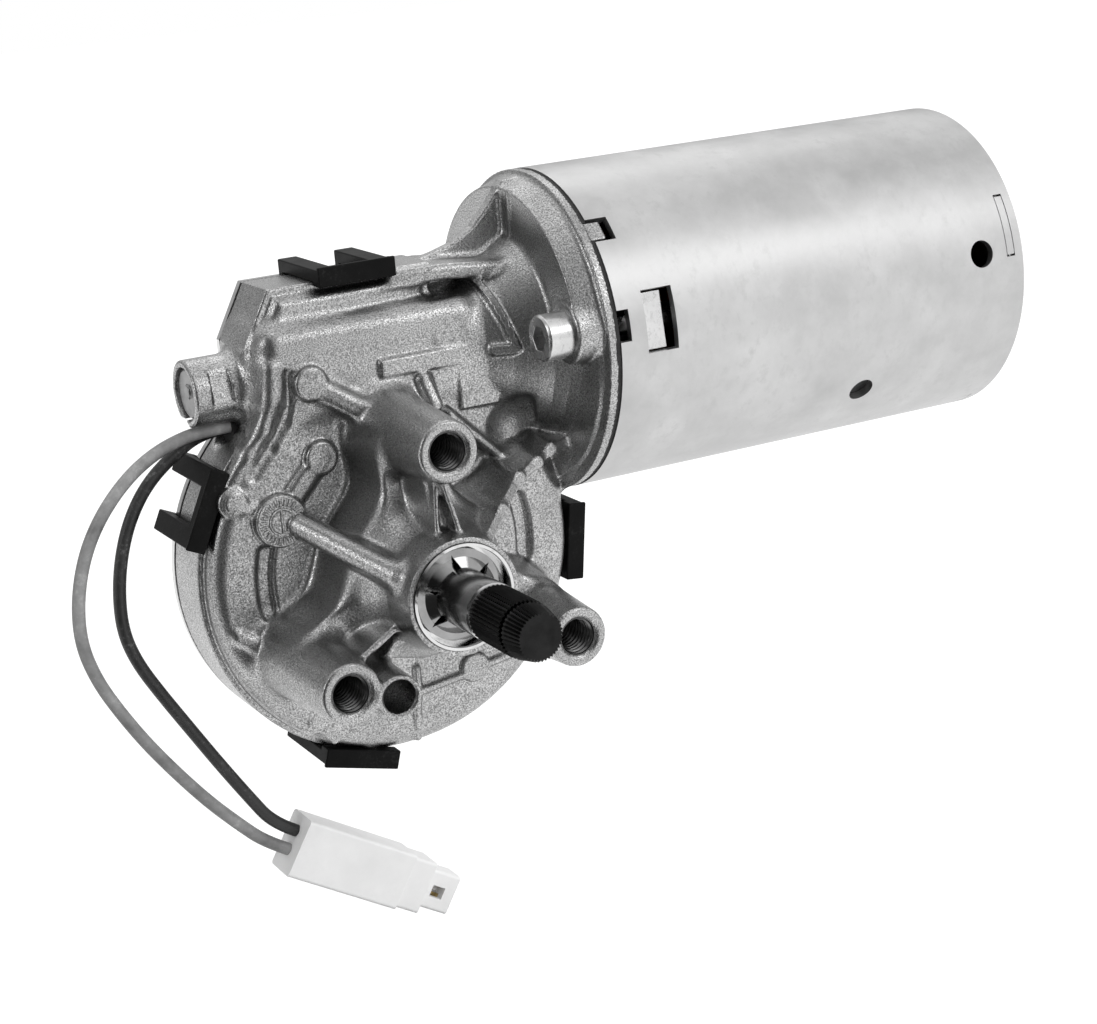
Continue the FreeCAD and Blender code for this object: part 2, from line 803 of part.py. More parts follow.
def gear_housing():
    rim = housing_prism(0, rim_front_y, rim_rear_y)
    disc_step = taper_y(face_radius, housing_radius - face_edge_step, face_y, rim_front_y)
    block_step = plate_xz(block_outline(block_face_inset, block_right_x), face_y + block_face_inset, rim_front_y)
    worm_tube = rod_x(worm_tube_radius, block_left_x + 1.5, block_right_x + cut_margin)
    solids = [rim, disc_step, block_step, worm_tube, neck_body(), flange_plateau(), hub_body(), cap_body()]
    solids += pillars() + hub_platform() + block_panels() + neck_webs() + screw_lugs()
    behind_rim = housing_prism(-0.5, rim_rear_y, motor_y + can_radius)
    body = joined(solids).cut([behind_rim, neck_recess()] + face_trenches())
    body = joined([body] + face_ribs() + hub_walls())
    body = joined([body] + flange_keys())
    return body.cut(housing_hollow() + pillar_holes() + screw_holes() + [lead_hole()])


def lead_grommet():
    barrel = rod_x(grommet_radius, grommet_lip_x, grommet_inner_x, grommet_y, grommet_z)
    lip = rod_x(grommet_lip_radius, grommet_outer_x, grommet_lip_x, grommet_y, grommet_z)
    return barrel.fuse(lip).removeSplitter()


def cover_gasket():
    outer = housing_prism(gasket_inset, rim_rear_y, cover_front_y)
    inner = housing_prism(wall - gasket_inset, rim_rear_y - cut_margin, cover_front_y + cut_margin)
    return outer.cut(inner)


def gear_cover():
    """A pressed cover: a flat rim round a raised pan, with a round boss over the wheel."""
    pan_rear = cover_front_y + cover_pan_depth
    rim = housing_prism(0, cover_front_y, cover_front_y + cover_thickness)
    pan = housing_prism(cover_pan_inset, cover_front_y, pan_rear)
    hollow = housing_prism(cover_pan_inset + cover_thickness, cover_front_y - cut_margin,
                           pan_rear - cover_thickness)
    boss = taper_y(cover_boss_radius, cover_boss_radius - 1.5, pan_rear - cut_margin, pan_rear + cover_boss_height)
    boss_hollow = rod_y(button_radius, cover_front_y, pan_rear + cover_boss_height - cover_thickness)
    return joined([rim, pan, boss]).cut([hollow, boss_hollow])


def thrust_button():
    """The plastic button in the cover's boss that the output shaft runs against."""
    front = shaft_rear_y + button_gap
    shoulder = front + button_tip_length
    rear = cover_front_y + cover_pan_depth + cover_boss_height - cover_thickness
    return turned_y([(front, 0), (front, button_tip_radius), (shoulder, button_radius), (rear, button_radius),
                     (rear, 0)])


def one_clip():
    """A clip that lies on +Z: a bar in front, two legs over the wall, hooks behind the cover."""
    front = rim_front_y - clip_bar_width
    rear = cover_front_y + cover_thickness + slide_gap
    end = rear + clip_hook_thickness
    half = clip_length / 2
    plate = box_between((-half, half), (front, end), (0, clip_thickness))
    notch = box_between((-clip_notch_width / 2, clip_notch_width / 2), (rim_front_y + 0.6, end + cut_margin),
                        (-clip_hook - cut_margin, clip_thickness + cut_margin))
    hook = box_between((-half, half), (rear, end), (-clip_hook, clip_thickness))
    lip = box_between((-half, half), (front, rim_front_y - seat_gap), (-clip_lip, clip_thickness))
    ridge = box_between((-half, half), (front, front + 0.9), (clip_thickness, clip_thickness + 0.6))
    return plate.fuse([hook, lip, ridge]).cut(notch).removeSplitter()


def cover_clips():
    """One clip on the flat top edge and three round the rim."""
    top = one_clip()
    top.translate(Vector(top_clip_x, 0, block_top_z + seat_gap))
    shapes = [top]
    for angle in (left_clip_angle, low_clip_angle, right_clip_angle):
        clip = one_clip()
        clip.translate(Vector(0, 0, housing_radius + seat_gap))
        shapes.append(turned_about_output(clip, angle - 90))
    return Part.makeCompound(shapes)


def motor_can():
    """The rolled tube, open at both ends, with its notches, windows, holes and tab slots."""
    tube = ring_x(can_radius, can_inner_radius, can_near_x, can_far_x)
    edge_x = can_near_x - cut_margin
    cuts = []
    for turn in (0, 180):
        cuts.append(wall_sector((edge_x, can_near_x + key_notch_length), key_angle + turn,
                                key_half_angle + key_notch_spare_angle))
        cuts.append(wall_sector((edge_x, can_near_x + screw_notch_length), screw_angle + turn,
                                screw_notch_half_angle))
        cuts.append(wall_sector((window_near_x, window_far_x), screw_angle + turn, window_half_angle))
    slot_start = can_far_x - slot_distance
    for turn in (0, 90, 180, 270):
        cuts.append(wall_sector((slot_start, slot_start + slot_width), slot_angle + turn, slot_half_angle))
    holes = ((near_hole_distance, near_hole_angle, near_hole_radius),
             (far_hole_distance, far_hole_angle, far_hole_radius))
    for distance, angle, radius in holes:
        drill_start = Vector(can_near_x + distance, motor_y + can_radius - 2 * can_wall, motor_z)
        drill = Part.makeCylinder(radius, 4 * can_wall, drill_start, along_y)
        cuts.append(turned_about_motor(drill, angle))
    return tube.cut(cuts)


def can_end_plate():
    """The far end plate: a disc with four tabs in the can's slots, a dome and a boss for the bush."""
    near = end_plate_near_x
    far = near + end_plate_thickness
    dome = far + end_dome_height
    disc = rod_x(can_inner_radius - seat_gap, near, far)
    boss = turned_x([
        (end_boss_near_x, 0),
        (end_boss_near_x, end_boss_radius),
        (near - 0.3 * end_boss_depth, end_boss_radius + 1.2, near, end_dome_radius),
        (far, end_dome_radius),
        (far + 0.72 * end_dome_height, end_dome_radius - 1.6, dome, end_dome_radius - 4.5),
        (dome, 0),
    ])
    tabs = []
    for turn in (0, 90, 180, 270):
        tabs.append(motor_sector((near, far), (can_inner_radius - can_wall, can_radius - press_gap),
                                 slot_angle + turn, slot_half_angle - slot_spare_angle))
    bore = rod_x(end_bush_radius, end_boss_near_x - cut_margin, end_bush_near_x + end_bush_length + 1.2)
    return joined([disc, boss] + tabs).cut(bore)


def can_end_bush():
    """A sintered bush with rounded shoulders, pressed in the end plate's boss."""
    start = end_bush_near_x
    end = start + end_bush_length
    inner = armature_shaft_radius + running_gap
    shoulder_radius = end_bush_radius - end_bush_shoulder
    middle_radius = end_bush_radius - 0.3 * end_bush_shoulder
    return turned_x([
        (start, inner),
        (start, shoulder_radius),
        (start + 0.4 * end_bush_shoulder, middle_radius, start + end_bush_shoulder, end_bush_radius),
        (end - end_bush_shoulder, end_bush_radius),
        (end - 0.4 * end_bush_shoulder, middle_radius, end, shoulder_radius),
        (end, inner),
    ])


def end_bush_retainer():
    """A spring disc on the boss, whose fingers hold the bush."""
    start = end_boss_near_x - retainer_thickness
    disc = ring_x(end_boss_radius, armature_shaft_radius + 1.0, start, end_boss_near_x)
    slits = []
    for step in range(retainer_fingers):
        slit = box_between((start - cut_margin, end_boss_near_x + cut_margin),
                           (motor_y, motor_y + end_boss_radius - 1.6), (motor_z - 0.3, motor_z + 0.3))
        slits.append(turned_about_motor(slit, 360 / retainer_fingers * step))
    return disc.cut(slits)


def flange_seal():
    ring = ring_x(flange_radius - 0.1, brush_plate_radius + 0.3, flange_rear_x, can_near_x)
    return ring.cut(flange_keys())


def one_screw(y, z):
    """A socket head cap screw, with its head in front of the lug."""
    front = screw_lug_front_x - screw_head_height
    head = rod_x(screw_head_radius, front, screw_lug_front_x, y, z)
    front_edges = [edge for edge in head.Edges if edge.BoundBox.XMax - front < seat_gap]
    head = head.makeChamfer(screw_head_chamfer, front_edges)
    shank = rod_x(screw_radius, screw_lug_front_x, window_far_x + screw_end_length, y, z)
    corners = []
    for step in range(7):
        turn = math.radians(60 * step)
        reach = screw_socket_width / math.sqrt(3)
        corners.append(Vector(front, y + reach * math.cos(turn), z + reach * math.sin(turn)))
    socket = Part.Face(Part.makePolygon(corners)).extrude(Vector(screw_socket_depth, 0, 0))
    return head.fuse(shank).removeSplitter().cut(socket)


def can_screws():
    return Part.makeCompound([one_screw(y, z) for y, z in screw_places()])


def can_nuts():
    """Square nuts that stand in the windows, turned to face outwards."""
    shapes = []
    start = window_near_x + slide_gap
    end = start + nut_thickness
    half = nut_width / 2
    for y, z in screw_places():
        nut = box_between((start, end), (y - half, y + half), (z - half, z + half))
        nut = nut.cut(rod_x(screw_radius, start - cut_margin, end + cut_margin, y, z))
        nut.rotate(Vector(0, y, z), along_x, screw_angle - 180)
        shapes.append(nut)
    return Part.makeCompound(shapes)


def magnets():
    x_range = (core_middle_x - magnet_length / 2, core_middle_x + magnet_length / 2)
    radius_range = (magnet_inner_radius, magnet_outer_radius)
    return Part.makeCompound([motor_sector(x_range, radius_range, screw_angle - 90 + turn, magnet_half_angle)
                              for turn in (0, 180)])


def magnet_springs():
    """Two bent strips that push the magnets apart, each with an ear against either magnet."""
    reach = magnet_length / 2 - magnet_spring_inset
    x_range = (core_middle_x - reach, core_middle_x + reach)
    ear_half_angle = 1.0
    gap_half_angle = 90 - magnet_half_angle
    shapes = []
    for turn in (0, 180):
        middle = screw_angle + turn
        strip = motor_sector(x_range, (magnet_outer_radius - magnet_spring_thickness, magnet_outer_radius), middle,
                             gap_half_angle)
        ear_turn = gap_half_angle - ear_half_angle
        ears = [motor_sector(x_range, (magnet_inner_radius + 1.0, magnet_outer_radius), middle + side * ear_turn,
                             ear_half_angle) for side in (-1, 1)]
        shapes.append(joined([strip] + ears))
    return Part.makeCompound(shapes)


def worm_thread():
    """The single-start thread, swept along a helix, with a crest at x = 0 that points down."""
    lead_length = math.pi * gear_module
    half_pitch_width = lead_length / 4 - flank_gap / 2
    addendum = worm_tip_radius - worm_pitch_radius
    sunk = root_depth + 0.4
    tip_half = half_pitch_width - addendum * math.tan(pressure_angle)
    root_half = half_pitch_width + sunk * math.tan(pressure_angle)
    length = 2 * worm_half_length + 4 * lead_length
    helix = Part.makeHelix(lead_length, length, worm_pitch_radius)
    profile = [
        Vector(worm_pitch_radius - sunk, 0, -root_half),
        Vector(worm_tip_radius, 0, -tip_half),
        Vector(worm_tip_radius, 0, tip_half),
        Vector(worm_pitch_radius - sunk, 0, root_half),
    ]
    section = Part.makePolygon(profile + profile[:1])
    thread = Part.Wire(helix).makePipeShell([section], True, True)
    thread.rotate(origin, along_y, 90)
    thread.translate(motor_point - Vector(round(length / lead_length / 2) * lead_length, 0, 0))
    return thread


def armature_shaft():
    """One steel shaft with the worm cut on it between the tip bush and the ball bearing."""
    core = worm_pitch_radius - root_depth
    thread_rise = 2.8
    run_out = worm_half_length + 1.2
    envelope = turned_x([
        (-run_out, 0),
        (-run_out, core),
        (thread_rise - run_out, core + thread_rise),
        (run_out - thread_rise, core + thread_rise),
        (run_out, core),
        (run_out, 0),
    ])
    shoulder = worm_half_length + 2.0
    chamfer = 0.8
    shaft = turned_x([
        (armature_tip_x, 0),
        (armature_tip_x, armature_shaft_radius - chamfer),
        (armature_tip_x + chamfer, armature_shaft_radius),
        (-shoulder, armature_shaft_radius),
        (-run_out, core),
        (run_out, core),
        (shoulder, armature_shaft_radius),
        (armature_rear_x - chamfer, armature_shaft_radius),
        (armature_rear_x, armature_shaft_radius - chamfer),
        (armature_rear_x, 0),
    ])
    return shaft.fuse(worm_thread().common(envelope))


def tooth_outline(turn, y):
    """The straight-sided teeth of the wheel as a closed polygon, turned by the angle turn."""
    root_radius = wheel_pitch_radius - root_depth
    pitch_half = math.pi * gear_module / 4 - flank_gap / 2
    tip_half = pitch_half - 0.39 * gear_module
    root_half = pitch_half + 0.32 * gear_module
    step = 2 * math.pi / wheel_tooth_count
    tooth = ((root_radius, -root_half), (wheel_tip_radius, -tip_half), (wheel_tip_radius, tip_half),
             (root_radius, root_half))
    points = []
    for number in range(wheel_tooth_count):
        centre = turn + (number + 0.5) * step + math.pi / 2
        for radius, half in tooth:
            angle = centre + half / radius
            points.append(Vector(radius * math.cos(angle), y, radius * math.sin(angle)))
    return Part.makePolygon(points + points[:1])


def worm_wheel():
    """The toothed plastic ring with a ribbed web, moulded on its steel hub."""
    start = motor_y - wheel_face_width / 2
    end = motor_y + wheel_face_width / 2
    half_turn = wheel_face_width / 2 * lead_slope / wheel_pitch_radius
    teeth = Part.makeLoft([tooth_outline(half_turn, start), tooth_outline(-half_turn, end)], True, True)
    rim_inner = wheel_pitch_radius - wheel_rim_depth
    sleeve_radius = hub_ring_radius + wheel_sleeve
    web_half = wheel_web_thickness / 2
    pockets = [ring_y(rim_inner, sleeve_radius, start - cut_margin, motor_y - web_half),
               ring_y(rim_inner, sleeve_radius, motor_y + web_half, end + cut_margin)]
    ribs = []
    for step in range(wheel_rib_count):
        rib = box_between((sleeve_radius - 1, rim_inner + 1), (start + 1, end - 1),
                          (-wheel_rib_width / 2, wheel_rib_width / 2))
        ribs.append(turned_about_output(rib, 360 / wheel_rib_count * (step + 0.5)))
    body = teeth.cut(pockets).fuse(ribs)
    return body.cut(rod_y(hub_ring_radius, start - cut_margin, end + cut_margin))


def wheel_hub():
    """The steel hub pressed on the shaft, with a nose that runs against the rear bush."""
    start = motor_y - wheel_face_width / 2
    barrel = rod_y(hub_ring_radius, start, start + wheel_face_width)
    nose = rod_y(shaft_radius + hub_nose_wall, floor_y + 1.0, start)
    bore = rod_y(shaft_radius, floor_y, start + wheel_face_width + cut_margin)
    return barrel.fuse(nose).removeSplitter().cut(bore)


def serrated_outline(radius, y):
    points = []
    for tooth in range(serration_count):
        for half_step, reach in ((0, radius), (0.5, radius - serration_depth)):
            angle = 2 * math.pi * (tooth + half_step) / serration_count
            points.append(Vector(reach * math.cos(angle), y, reach * math.sin(angle)))
    return Part.makePolygon(points + points[:1])


def output_shaft():
    """A plain shaft whose free end has a straight and then a tapered serration."""
    collar_y = serration_start_y + shaft_collar_width
    collar_radius = shaft_radius - shaft_collar_step
    groove_front = serration_groove_y - serration_groove_width
    plain = turned_y([
        (shaft_rear_y, 0),
        (shaft_rear_y, shaft_radius - shaft_chamfer),
        (shaft_rear_y - shaft_chamfer, shaft_radius),
        (collar_y, shaft_radius),
        (collar_y - shaft_collar_step, collar_radius),
        (serration_start_y, collar_radius),
        (serration_start_y, 0),
    ])
    straight_face = Part.Face(serrated_outline(shaft_radius, serration_groove_y))
    straight = straight_face.extrude(Vector(0, serration_length, 0))
    groove = rod_y(shaft_radius - serration_groove_depth, groove_front, serration_groove_y)
    taper = Part.makeLoft([serrated_outline(shaft_radius - slide_gap, groove_front),
                           serrated_outline(shaft_tip_radius, shaft_tip_y)], True, True)
    return plain.fuse([straight, groove, taper])


def hub_bush(start, end):
    return ring_y(shaft_radius + bush_wall, shaft_radius + running_gap, start, end)


def shaft_seal():
    """A ring with two lips on the shaft, between the two bushes."""
    start = front_bush_end + slide_gap
    end = rear_bush_start - slide_gap
    third = (end - start) / 3
    lip = shaft_radius + running_gap
    back = shaft_radius + bush_wall - running_gap
    groove = shaft_radius + bush_wall / 3
    return turned_y([(start, lip), (start, back), (end, back), (end, lip), (end - 0.6 * third, lip),
                     (end - 1.5 * third, groove), (start + 0.6 * third, lip)])


def hub_cup():
    """The pressed cup in the hub's mouth: a rolled rim, a wall and a floor ring."""
    front = hub_front_y - 0.3
    floor = hub_front_y + cup_depth
    inner = cup_radius - cup_wall
    bore = shaft_radius + 0.6
    return turned_y([(front, inner + 0.1), (front, cup_radius), (floor, cup_radius), (floor, bore),
                     (floor - cup_wall, bore), (floor - cup_wall, inner), (front + 0.6, inner)])


def star_washer():
    """A dished push-on washer that grips the shaft between pointed slots."""
    back = hub_front_y + star_setback
    front = back - star_thickness
    bend_radius = star_radius - 1.6
    washer = turned_y([(back, star_radius), (front, star_radius), (front - 0.2, bend_radius),
                       (front - star_dish, shaft_radius), (back - star_dish, shaft_radius),
                       (back - 0.2, bend_radius)])
    slots = []
    for step in range(star_notches):
        slot = plate_xz([(shaft_radius - 0.2, -1.0), (shaft_radius + 1.4, -0.5), (shaft_radius + 2.8, 0),
                         (shaft_radius + 1.4, 0.5), (shaft_radius - 0.2, 1.0)], back - 4, back + 2)
        slots.append(turned_about_output(slot, 360.0 / star_notches * step + star_turn))
    return washer.cut(slots)


def thrust_washer():
    front = hub_front_y + star_setback + thrust_washer_gap
    return ring_y(star_radius - 0.6, shaft_radius + slide_gap, front, hub_front_y + cup_depth - cup_wall)


def thrust_plug():
    """The adjusting plug in the end of the worm tube, with an off-centre pip."""
    radius = armature_shaft_radius + tip_bush_wall
    start = cap_end_x + plug_recess
    edge = 0.7
    body = turned_x([(start, 0), (start, radius - edge), (start + edge, radius), (plug_end_x, radius),
                     (plug_end_x, 0)])
    pip = rod_x(1.5, start - 0.5, start + edge, motor_y - 0.9, motor_z + 0.6)
    return body.fuse(pip).removeSplitter()


def tip_bush():
    return ring_x(armature_shaft_radius + tip_bush_wall, armature_shaft_radius + running_gap, plug_end_x + 0.2,
                  -worm_half_length - 4.0)


def bearing_groove():
    middle = bearing_near_x + bearing_width / 2
    return Part.makeTorus(ball_circle_radius, ball_radius + 0.04, Vector(middle, motor_y, motor_z), along_x)


def bearing_outer_ring():
    ring = ring_x(bearing_radius, bearing_radius - bearing_ring_wall, bearing_near_x, bearing_far_x)
    return ring.cut(bearing_groove())


def bearing_inner_ring():
    outer = armature_shaft_radius + bearing_ring_wall
    return ring_x(outer, armature_shaft_radius, bearing_near_x, bearing_far_x).cut(bearing_groove())


def balls(radius):
    """One ball for each place round the bearing."""
    middle = bearing_near_x + bearing_width / 2
    shapes = []
    for step in range(ball_count):
        y, z = motor_place(ball_circle_radius, 360 / ball_count * step)
        shapes.append(Part.makeSphere(radius, Vector(middle, y, z)))
    return shapes


def bearing_balls():
    return Part.makeCompound(balls(ball_radius))


def bearing_cage():
    """The crown of the bearing, which holds the balls apart."""
    middle = bearing_near_x + bearing_width / 2
    ring = ring_x(ball_circle_radius + cage_half_wall, ball_circle_radius - cage_half_wall, middle - 1.5,
                  middle + 2.4)
    return ring.cut(balls(ball_radius + running_gap))


def bearing_retainer():
    """The spring plate that keeps the ball bearing in its seat."""
    return ring_x(bearing_radius, bearing_radius - bearing_ring_wall - 0.2, bearing_far_x,
                  bearing_far_x + bearing_retainer_thickness)


def slot_cuts(shrink, mouth_needed):
    """The slots of the core, each a wide pocket with a narrow mouth, drawn in by shrink."""
    floor = slot_floor_radius + shrink
    tip = core_radius - slot_tip_depth - shrink
    floor_half = slot_floor_half_width - shrink
    tip_half = slot_tip_half_width - shrink
    start = core_near_x - cut_margin
    length = core_length + 2 * cut_margin
    corners = ((floor, -floor_half), (tip, -tip_half), (tip, tip_half), (floor, floor_half))
    cuts = []
    for step in range(core_slots):
        points = [Vector(start, motor_y + radius, motor_z + half) for radius, half in corners]
        cut = Part.Face(Part.makePolygon(points + points[:1])).extrude(Vector(length, 0, 0))
        if mouth_needed:
            mouth = box_between((start, start + length),
                                (motor_y + tip - cut_margin, motor_y + core_radius + cut_margin),
                                (motor_z - slot_mouth / 2, motor_z + slot_mouth / 2))
            cut = cut.fuse(mouth)
        cuts.append(turned_about_motor(cut, 360 / core_slots * step))
    return cuts


def armature_core():
    """The laminated core: a drum with open slots between its teeth."""
    drum = ring_x(core_radius, armature_shaft_radius, core_near_x, core_far_x)
    return drum.cut(slot_cuts(0.0, True))


def winding_head(start, direction):
    """The rounded head of wire at one end of the core."""
    outer = core_radius - slot_tip_depth - 0.6
    crown = outer + 1.2
    reach = direction * winding_head_length
    return turned_x([
        (start, winding_bore_radius),
        (start, outer),
        (start + 0.5 * reach, crown, start + 0.9 * reach, 0.8 * outer),
        (start + reach, slot_floor_radius),
        (start + 0.75 * reach, winding_bore_radius),
    ])


def armature_windings():
    """Wire in the slots and the two heads of wire beyond the core."""
    bars = slot_cuts(winding_gap, False)
    return winding_head(core_near_x, -1).fuse(bars + [winding_head(core_far_x, 1)])


def commutator():
    """Copper bars with a slot between each two and a riser at the wire end."""
    riser_radius = commutator_radius + riser_height
    barrel = turned_x([
        (commutator_near_x, armature_shaft_radius),
        (commutator_near_x, commutator_radius),
        (riser_near_x, commutator_radius),
        (riser_near_x, riser_radius),
        (commutator_far_x, riser_radius),
        (commutator_far_x, armature_shaft_radius),
    ])
    cuts = []
    for step in range(commutator_bars):
        slit = box_between((commutator_near_x - cut_margin, commutator_far_x + cut_margin),
                           (motor_y + commutator_radius - bar_slit_depth, motor_y + riser_radius + cut_margin),
                           (motor_z - bar_slit_width / 2, motor_z + bar_slit_width / 2))
        cuts.append(turned_about_motor(slit, 360 / commutator_bars * step))
    return barrel.cut(cuts)


def radial_box(half_x, inner, outer, half_width):
    """A block that stands out from the motor axis towards the brush angle."""
    block = box_between((brush_middle_x - half_x, brush_middle_x + half_x), (motor_y + inner, motor_y + outer),
                        (motor_z - half_width, motor_z + half_width))
    return turned_about_motor(block, brush_angle)


def brush(turn):
    """A carbon block whose inner face is hollowed to the commutator."""
    face = rod_x(commutator_radius + brush_gap, commutator_near_x, commutator_far_x)
    block = radial_box(brush_length / 2, commutator_radius - 1.5, commutator_radius + brush_height,
                       brush_width / 2)
    return turned_about_motor(block.cut(face), turn)


def brush_spring(turn):
    """A coil spring of square wire between the brush and the end of its holder."""
    start = commutator_radius + brush_height + seat_gap
    end = holder_outer_radius - holder_wall - seat_gap
    half = spring_wire / 2
    height = end - start - spring_wire
    helix = Part.makeHelix(height / spring_coils, height, spring_coil_radius)
    corners = [Vector(spring_coil_radius + across * half, 0, along * half)
               for across, along in ((-1, -1), (1, -1), (1, 1), (-1, 1))]
    section = Part.makePolygon(corners + corners[:1])
    spring = Part.Wire(helix).makePipeShell([section], True, True)
    spring.rotate(origin, along_x, -90)
    spring.translate(Vector(brush_middle_x, motor_y + start + half, motor_z))
    return turned_about_motor(spring, brush_angle + turn)


def brush_holders():
    """Two brass boxes on the brush plate, open towards the commutator."""
    inner = commutator_radius + riser_height
    half_length = brush_length / 2 + slide_gap
    half_width = brush_width / 2 + slide_gap
    outer = radial_box(half_length + holder_wall, inner, holder_outer_radius, half_width + holder_wall)
    hollow = radial_box(half_length, inner - cut_margin, holder_outer_radius - holder_wall, half_width)
    box = outer.cut(hollow)
    return Part.makeCompound([turned_about_motor(box, turn) for turn in (0, 180)])


def brush_plate():
    """The plastic plate that carries the brush gear, on a skirt that stands on the flange."""
    start = holder_near_x - brush_plate_thickness
    plate = ring_x(brush_plate_radius, brush_plate_hole_radius, start, holder_near_x)
    skirt = ring_x(brush_plate_radius, brush_plate_radius - brush_plate_skirt, flange_rear_x, start)
    holes = [rod_x(screw_radius + 0.6, flange_rear_x - cut_margin, holder_near_x + cut_margin, y, z)
             for y, z in screw_places()]
    return joined([plate, skirt]).cut(holes)


def suppression_chokes():
    """Two small ferrite rods beside the brushes."""
    shapes = []
    for turn in (0, 180):
        y, z = motor_place(brush_plate_radius - choke_inset, brush_angle + 45 + turn)
        shapes.append(rod_x(choke_radius, holder_near_x, choke_end_x, y, z))
    return Part.makeCompound(shapes)


def rounded_route(points):
    """Straight runs joined by tangent arcs, each arc as large as its two runs allow."""
    edges = []
    radii = []
    last = points[0]
    for before, corner, after in zip(points, points[1:], points[2:]):
        inward = (before - corner).normalize()
        outward = (after - corner).normalize()
        turn = math.pi - inward.getAngle(outward)
        trim = 0.45 * min(before.distanceToPoint(corner), corner.distanceToPoint(after))
        radius = trim / math.tan(turn / 2)
        radii.append(round(radius, 1))
        start = corner + inward * trim
        end = corner + outward * trim
        middle_direction = (inward + outward).normalize()
        middle = corner + middle_direction * (math.hypot(radius, trim) - radius)
        edges.append(Part.LineSegment(last, start).toShape())
        edges.append(Part.Arc(start, middle, end).toShape())
        last = end
    edges.append(Part.LineSegment(last, points[-1]).toShape())
    return Part.Wire(edges), radii


def connector_point(along, down):
    """A point of the connector, from its lead end along its length and down its height."""
    slope = math.radians(connector_slope)
    x = along * math.cos(slope) + down * math.sin(slope)
    z = along * math.sin(slope) - down * math.cos(slope)
    return connector_entry + Vector(x, 0, z)


def lead(name, steps, down):
    """A lead as a round tube, from its exit in the grommet to the connector's lead end."""
    places = [lead_exit + Vector(*step) for step in steps]
    places += [connector_point(-6, down), connector_point(0, down)]
    route, radii = rounded_route(places)
    direction = (places[1] - places[0]).normalize()
    section = Part.Wire(Part.makeCircle(lead_radius, places[0], direction))
    tube = route.makePipeShell([section], True, True)
    expected = math.pi * lead_radius ** 2 * route.Length
    print(name, "length", round(route.Length, 1), "volume ratio", round(tube.Volume / expected, 4), "radii", radii)
    return tube


# The routes of the leads, measured from the middle of the grommet's outer face.
grey_steps = [
    (0.0, -1.6, 0.7),
    (-4.3, -1.6, 0.7),
    (-9.5, -1.7, 0.4),
    (-16.9, -2.0, -1.8),
    (-23.8, -2.4, -6.0),
    (-30.2, -2.8, -12.5),
    (-34.8, -3.2, -20.0),
    (-37.6, -3.7, -29.0),
    (-38.2, -4.1, -38.0),
    (-36.0, -4.4, -46.4),
    (-32.2, -4.7, -54.2),
    (-27.6, -5.0, -62.2),
    (-22.0, -5.2, -70.4),
    (-16.0, -5.4, -78.4),
    (-10.0, -5.5, -85.2),
]
black_steps = [
    (0.0, 1.6, -0.3),
    (-5.2, 1.6, -0.3),
    (-12.0, 1.6, -4.0),
    (-18.4, 1.3, -8.9),
    (-23.1, 0.8, -15.4),
    (-26.2, 0.3, -23.0),
    (-27.9, -0.3, -31.2),
    (-28.1, -0.9, -38.8),
    (-26.2, -1.6, -45.6),
    (-22.4, -2.4, -53.0),
    (-17.4, -3.2, -61.8),
    (-12.1, -4.1, -71.1),
    (-6.6, -5.0, -80.2),
]


def connector_block(start, end, height, depth):
    """A block of the connector between two stations along its length, with rounded long edges."""
    block = box_between((start, end), (-depth / 2, depth / 2), (-height / 2, height / 2))
    long_edges = [edge for edge in block.Edges if abs(edge.BoundBox.XLength - (end - start)) < 0.01]
    return block.makeFillet(connector_edge, long_edges)


def placed_connector(shape):
    copy = shape.copy()
    copy.rotate(origin, along_y, -connector_slope)
    copy.translate(connector_entry)
    return copy


def connector_housing():
    """A two-way housing: a body, a collar and a nose with two cells and a latch window."""
    end = connector_length + nose_length
    collar_start = connector_length - collar_length
    body = connector_block(0, collar_start + 0.2, connector_height, connector_depth)
    collar = connector_block(collar_start, connector_length, connector_height - collar_step,
                             connector_depth - collar_step)
    nose = connector_block(connector_length - 0.2, end, nose_height, nose_depth)
    cells = []
    for side in (-1, 1):
        middle = side * cell_pitch / 2
        cells.append(box_between((end - cell_length, end + cut_margin), (-cell_depth / 2, cell_depth / 2),
                                 (middle - cell_height / 2, middle + cell_height / 2)))
    window_start = connector_length + latch_window_distance
    window = box_between((window_start, window_start + latch_window_length), (-nose_depth, 0),
                         (-0.6 * latch_window_height, 0.4 * latch_window_height))
    return placed_connector(joined([body, collar, nose]).cut(cells + [window]))


def connector_terminals():
    """Two flat blades that stand in the cells of the nose."""
    end = connector_length + nose_length
    half = blade_width / 2
    shapes = []
    for side in (-1, 1):
        middle = side * cell_pitch / 2
        blade = box_between((end - cell_length, end - blade_setback), (-blade_thickness / 2, blade_thickness / 2),
                            (middle - half, middle + half))
        shapes.append(placed_connector(blade))
    return Part.makeCompound(shapes)


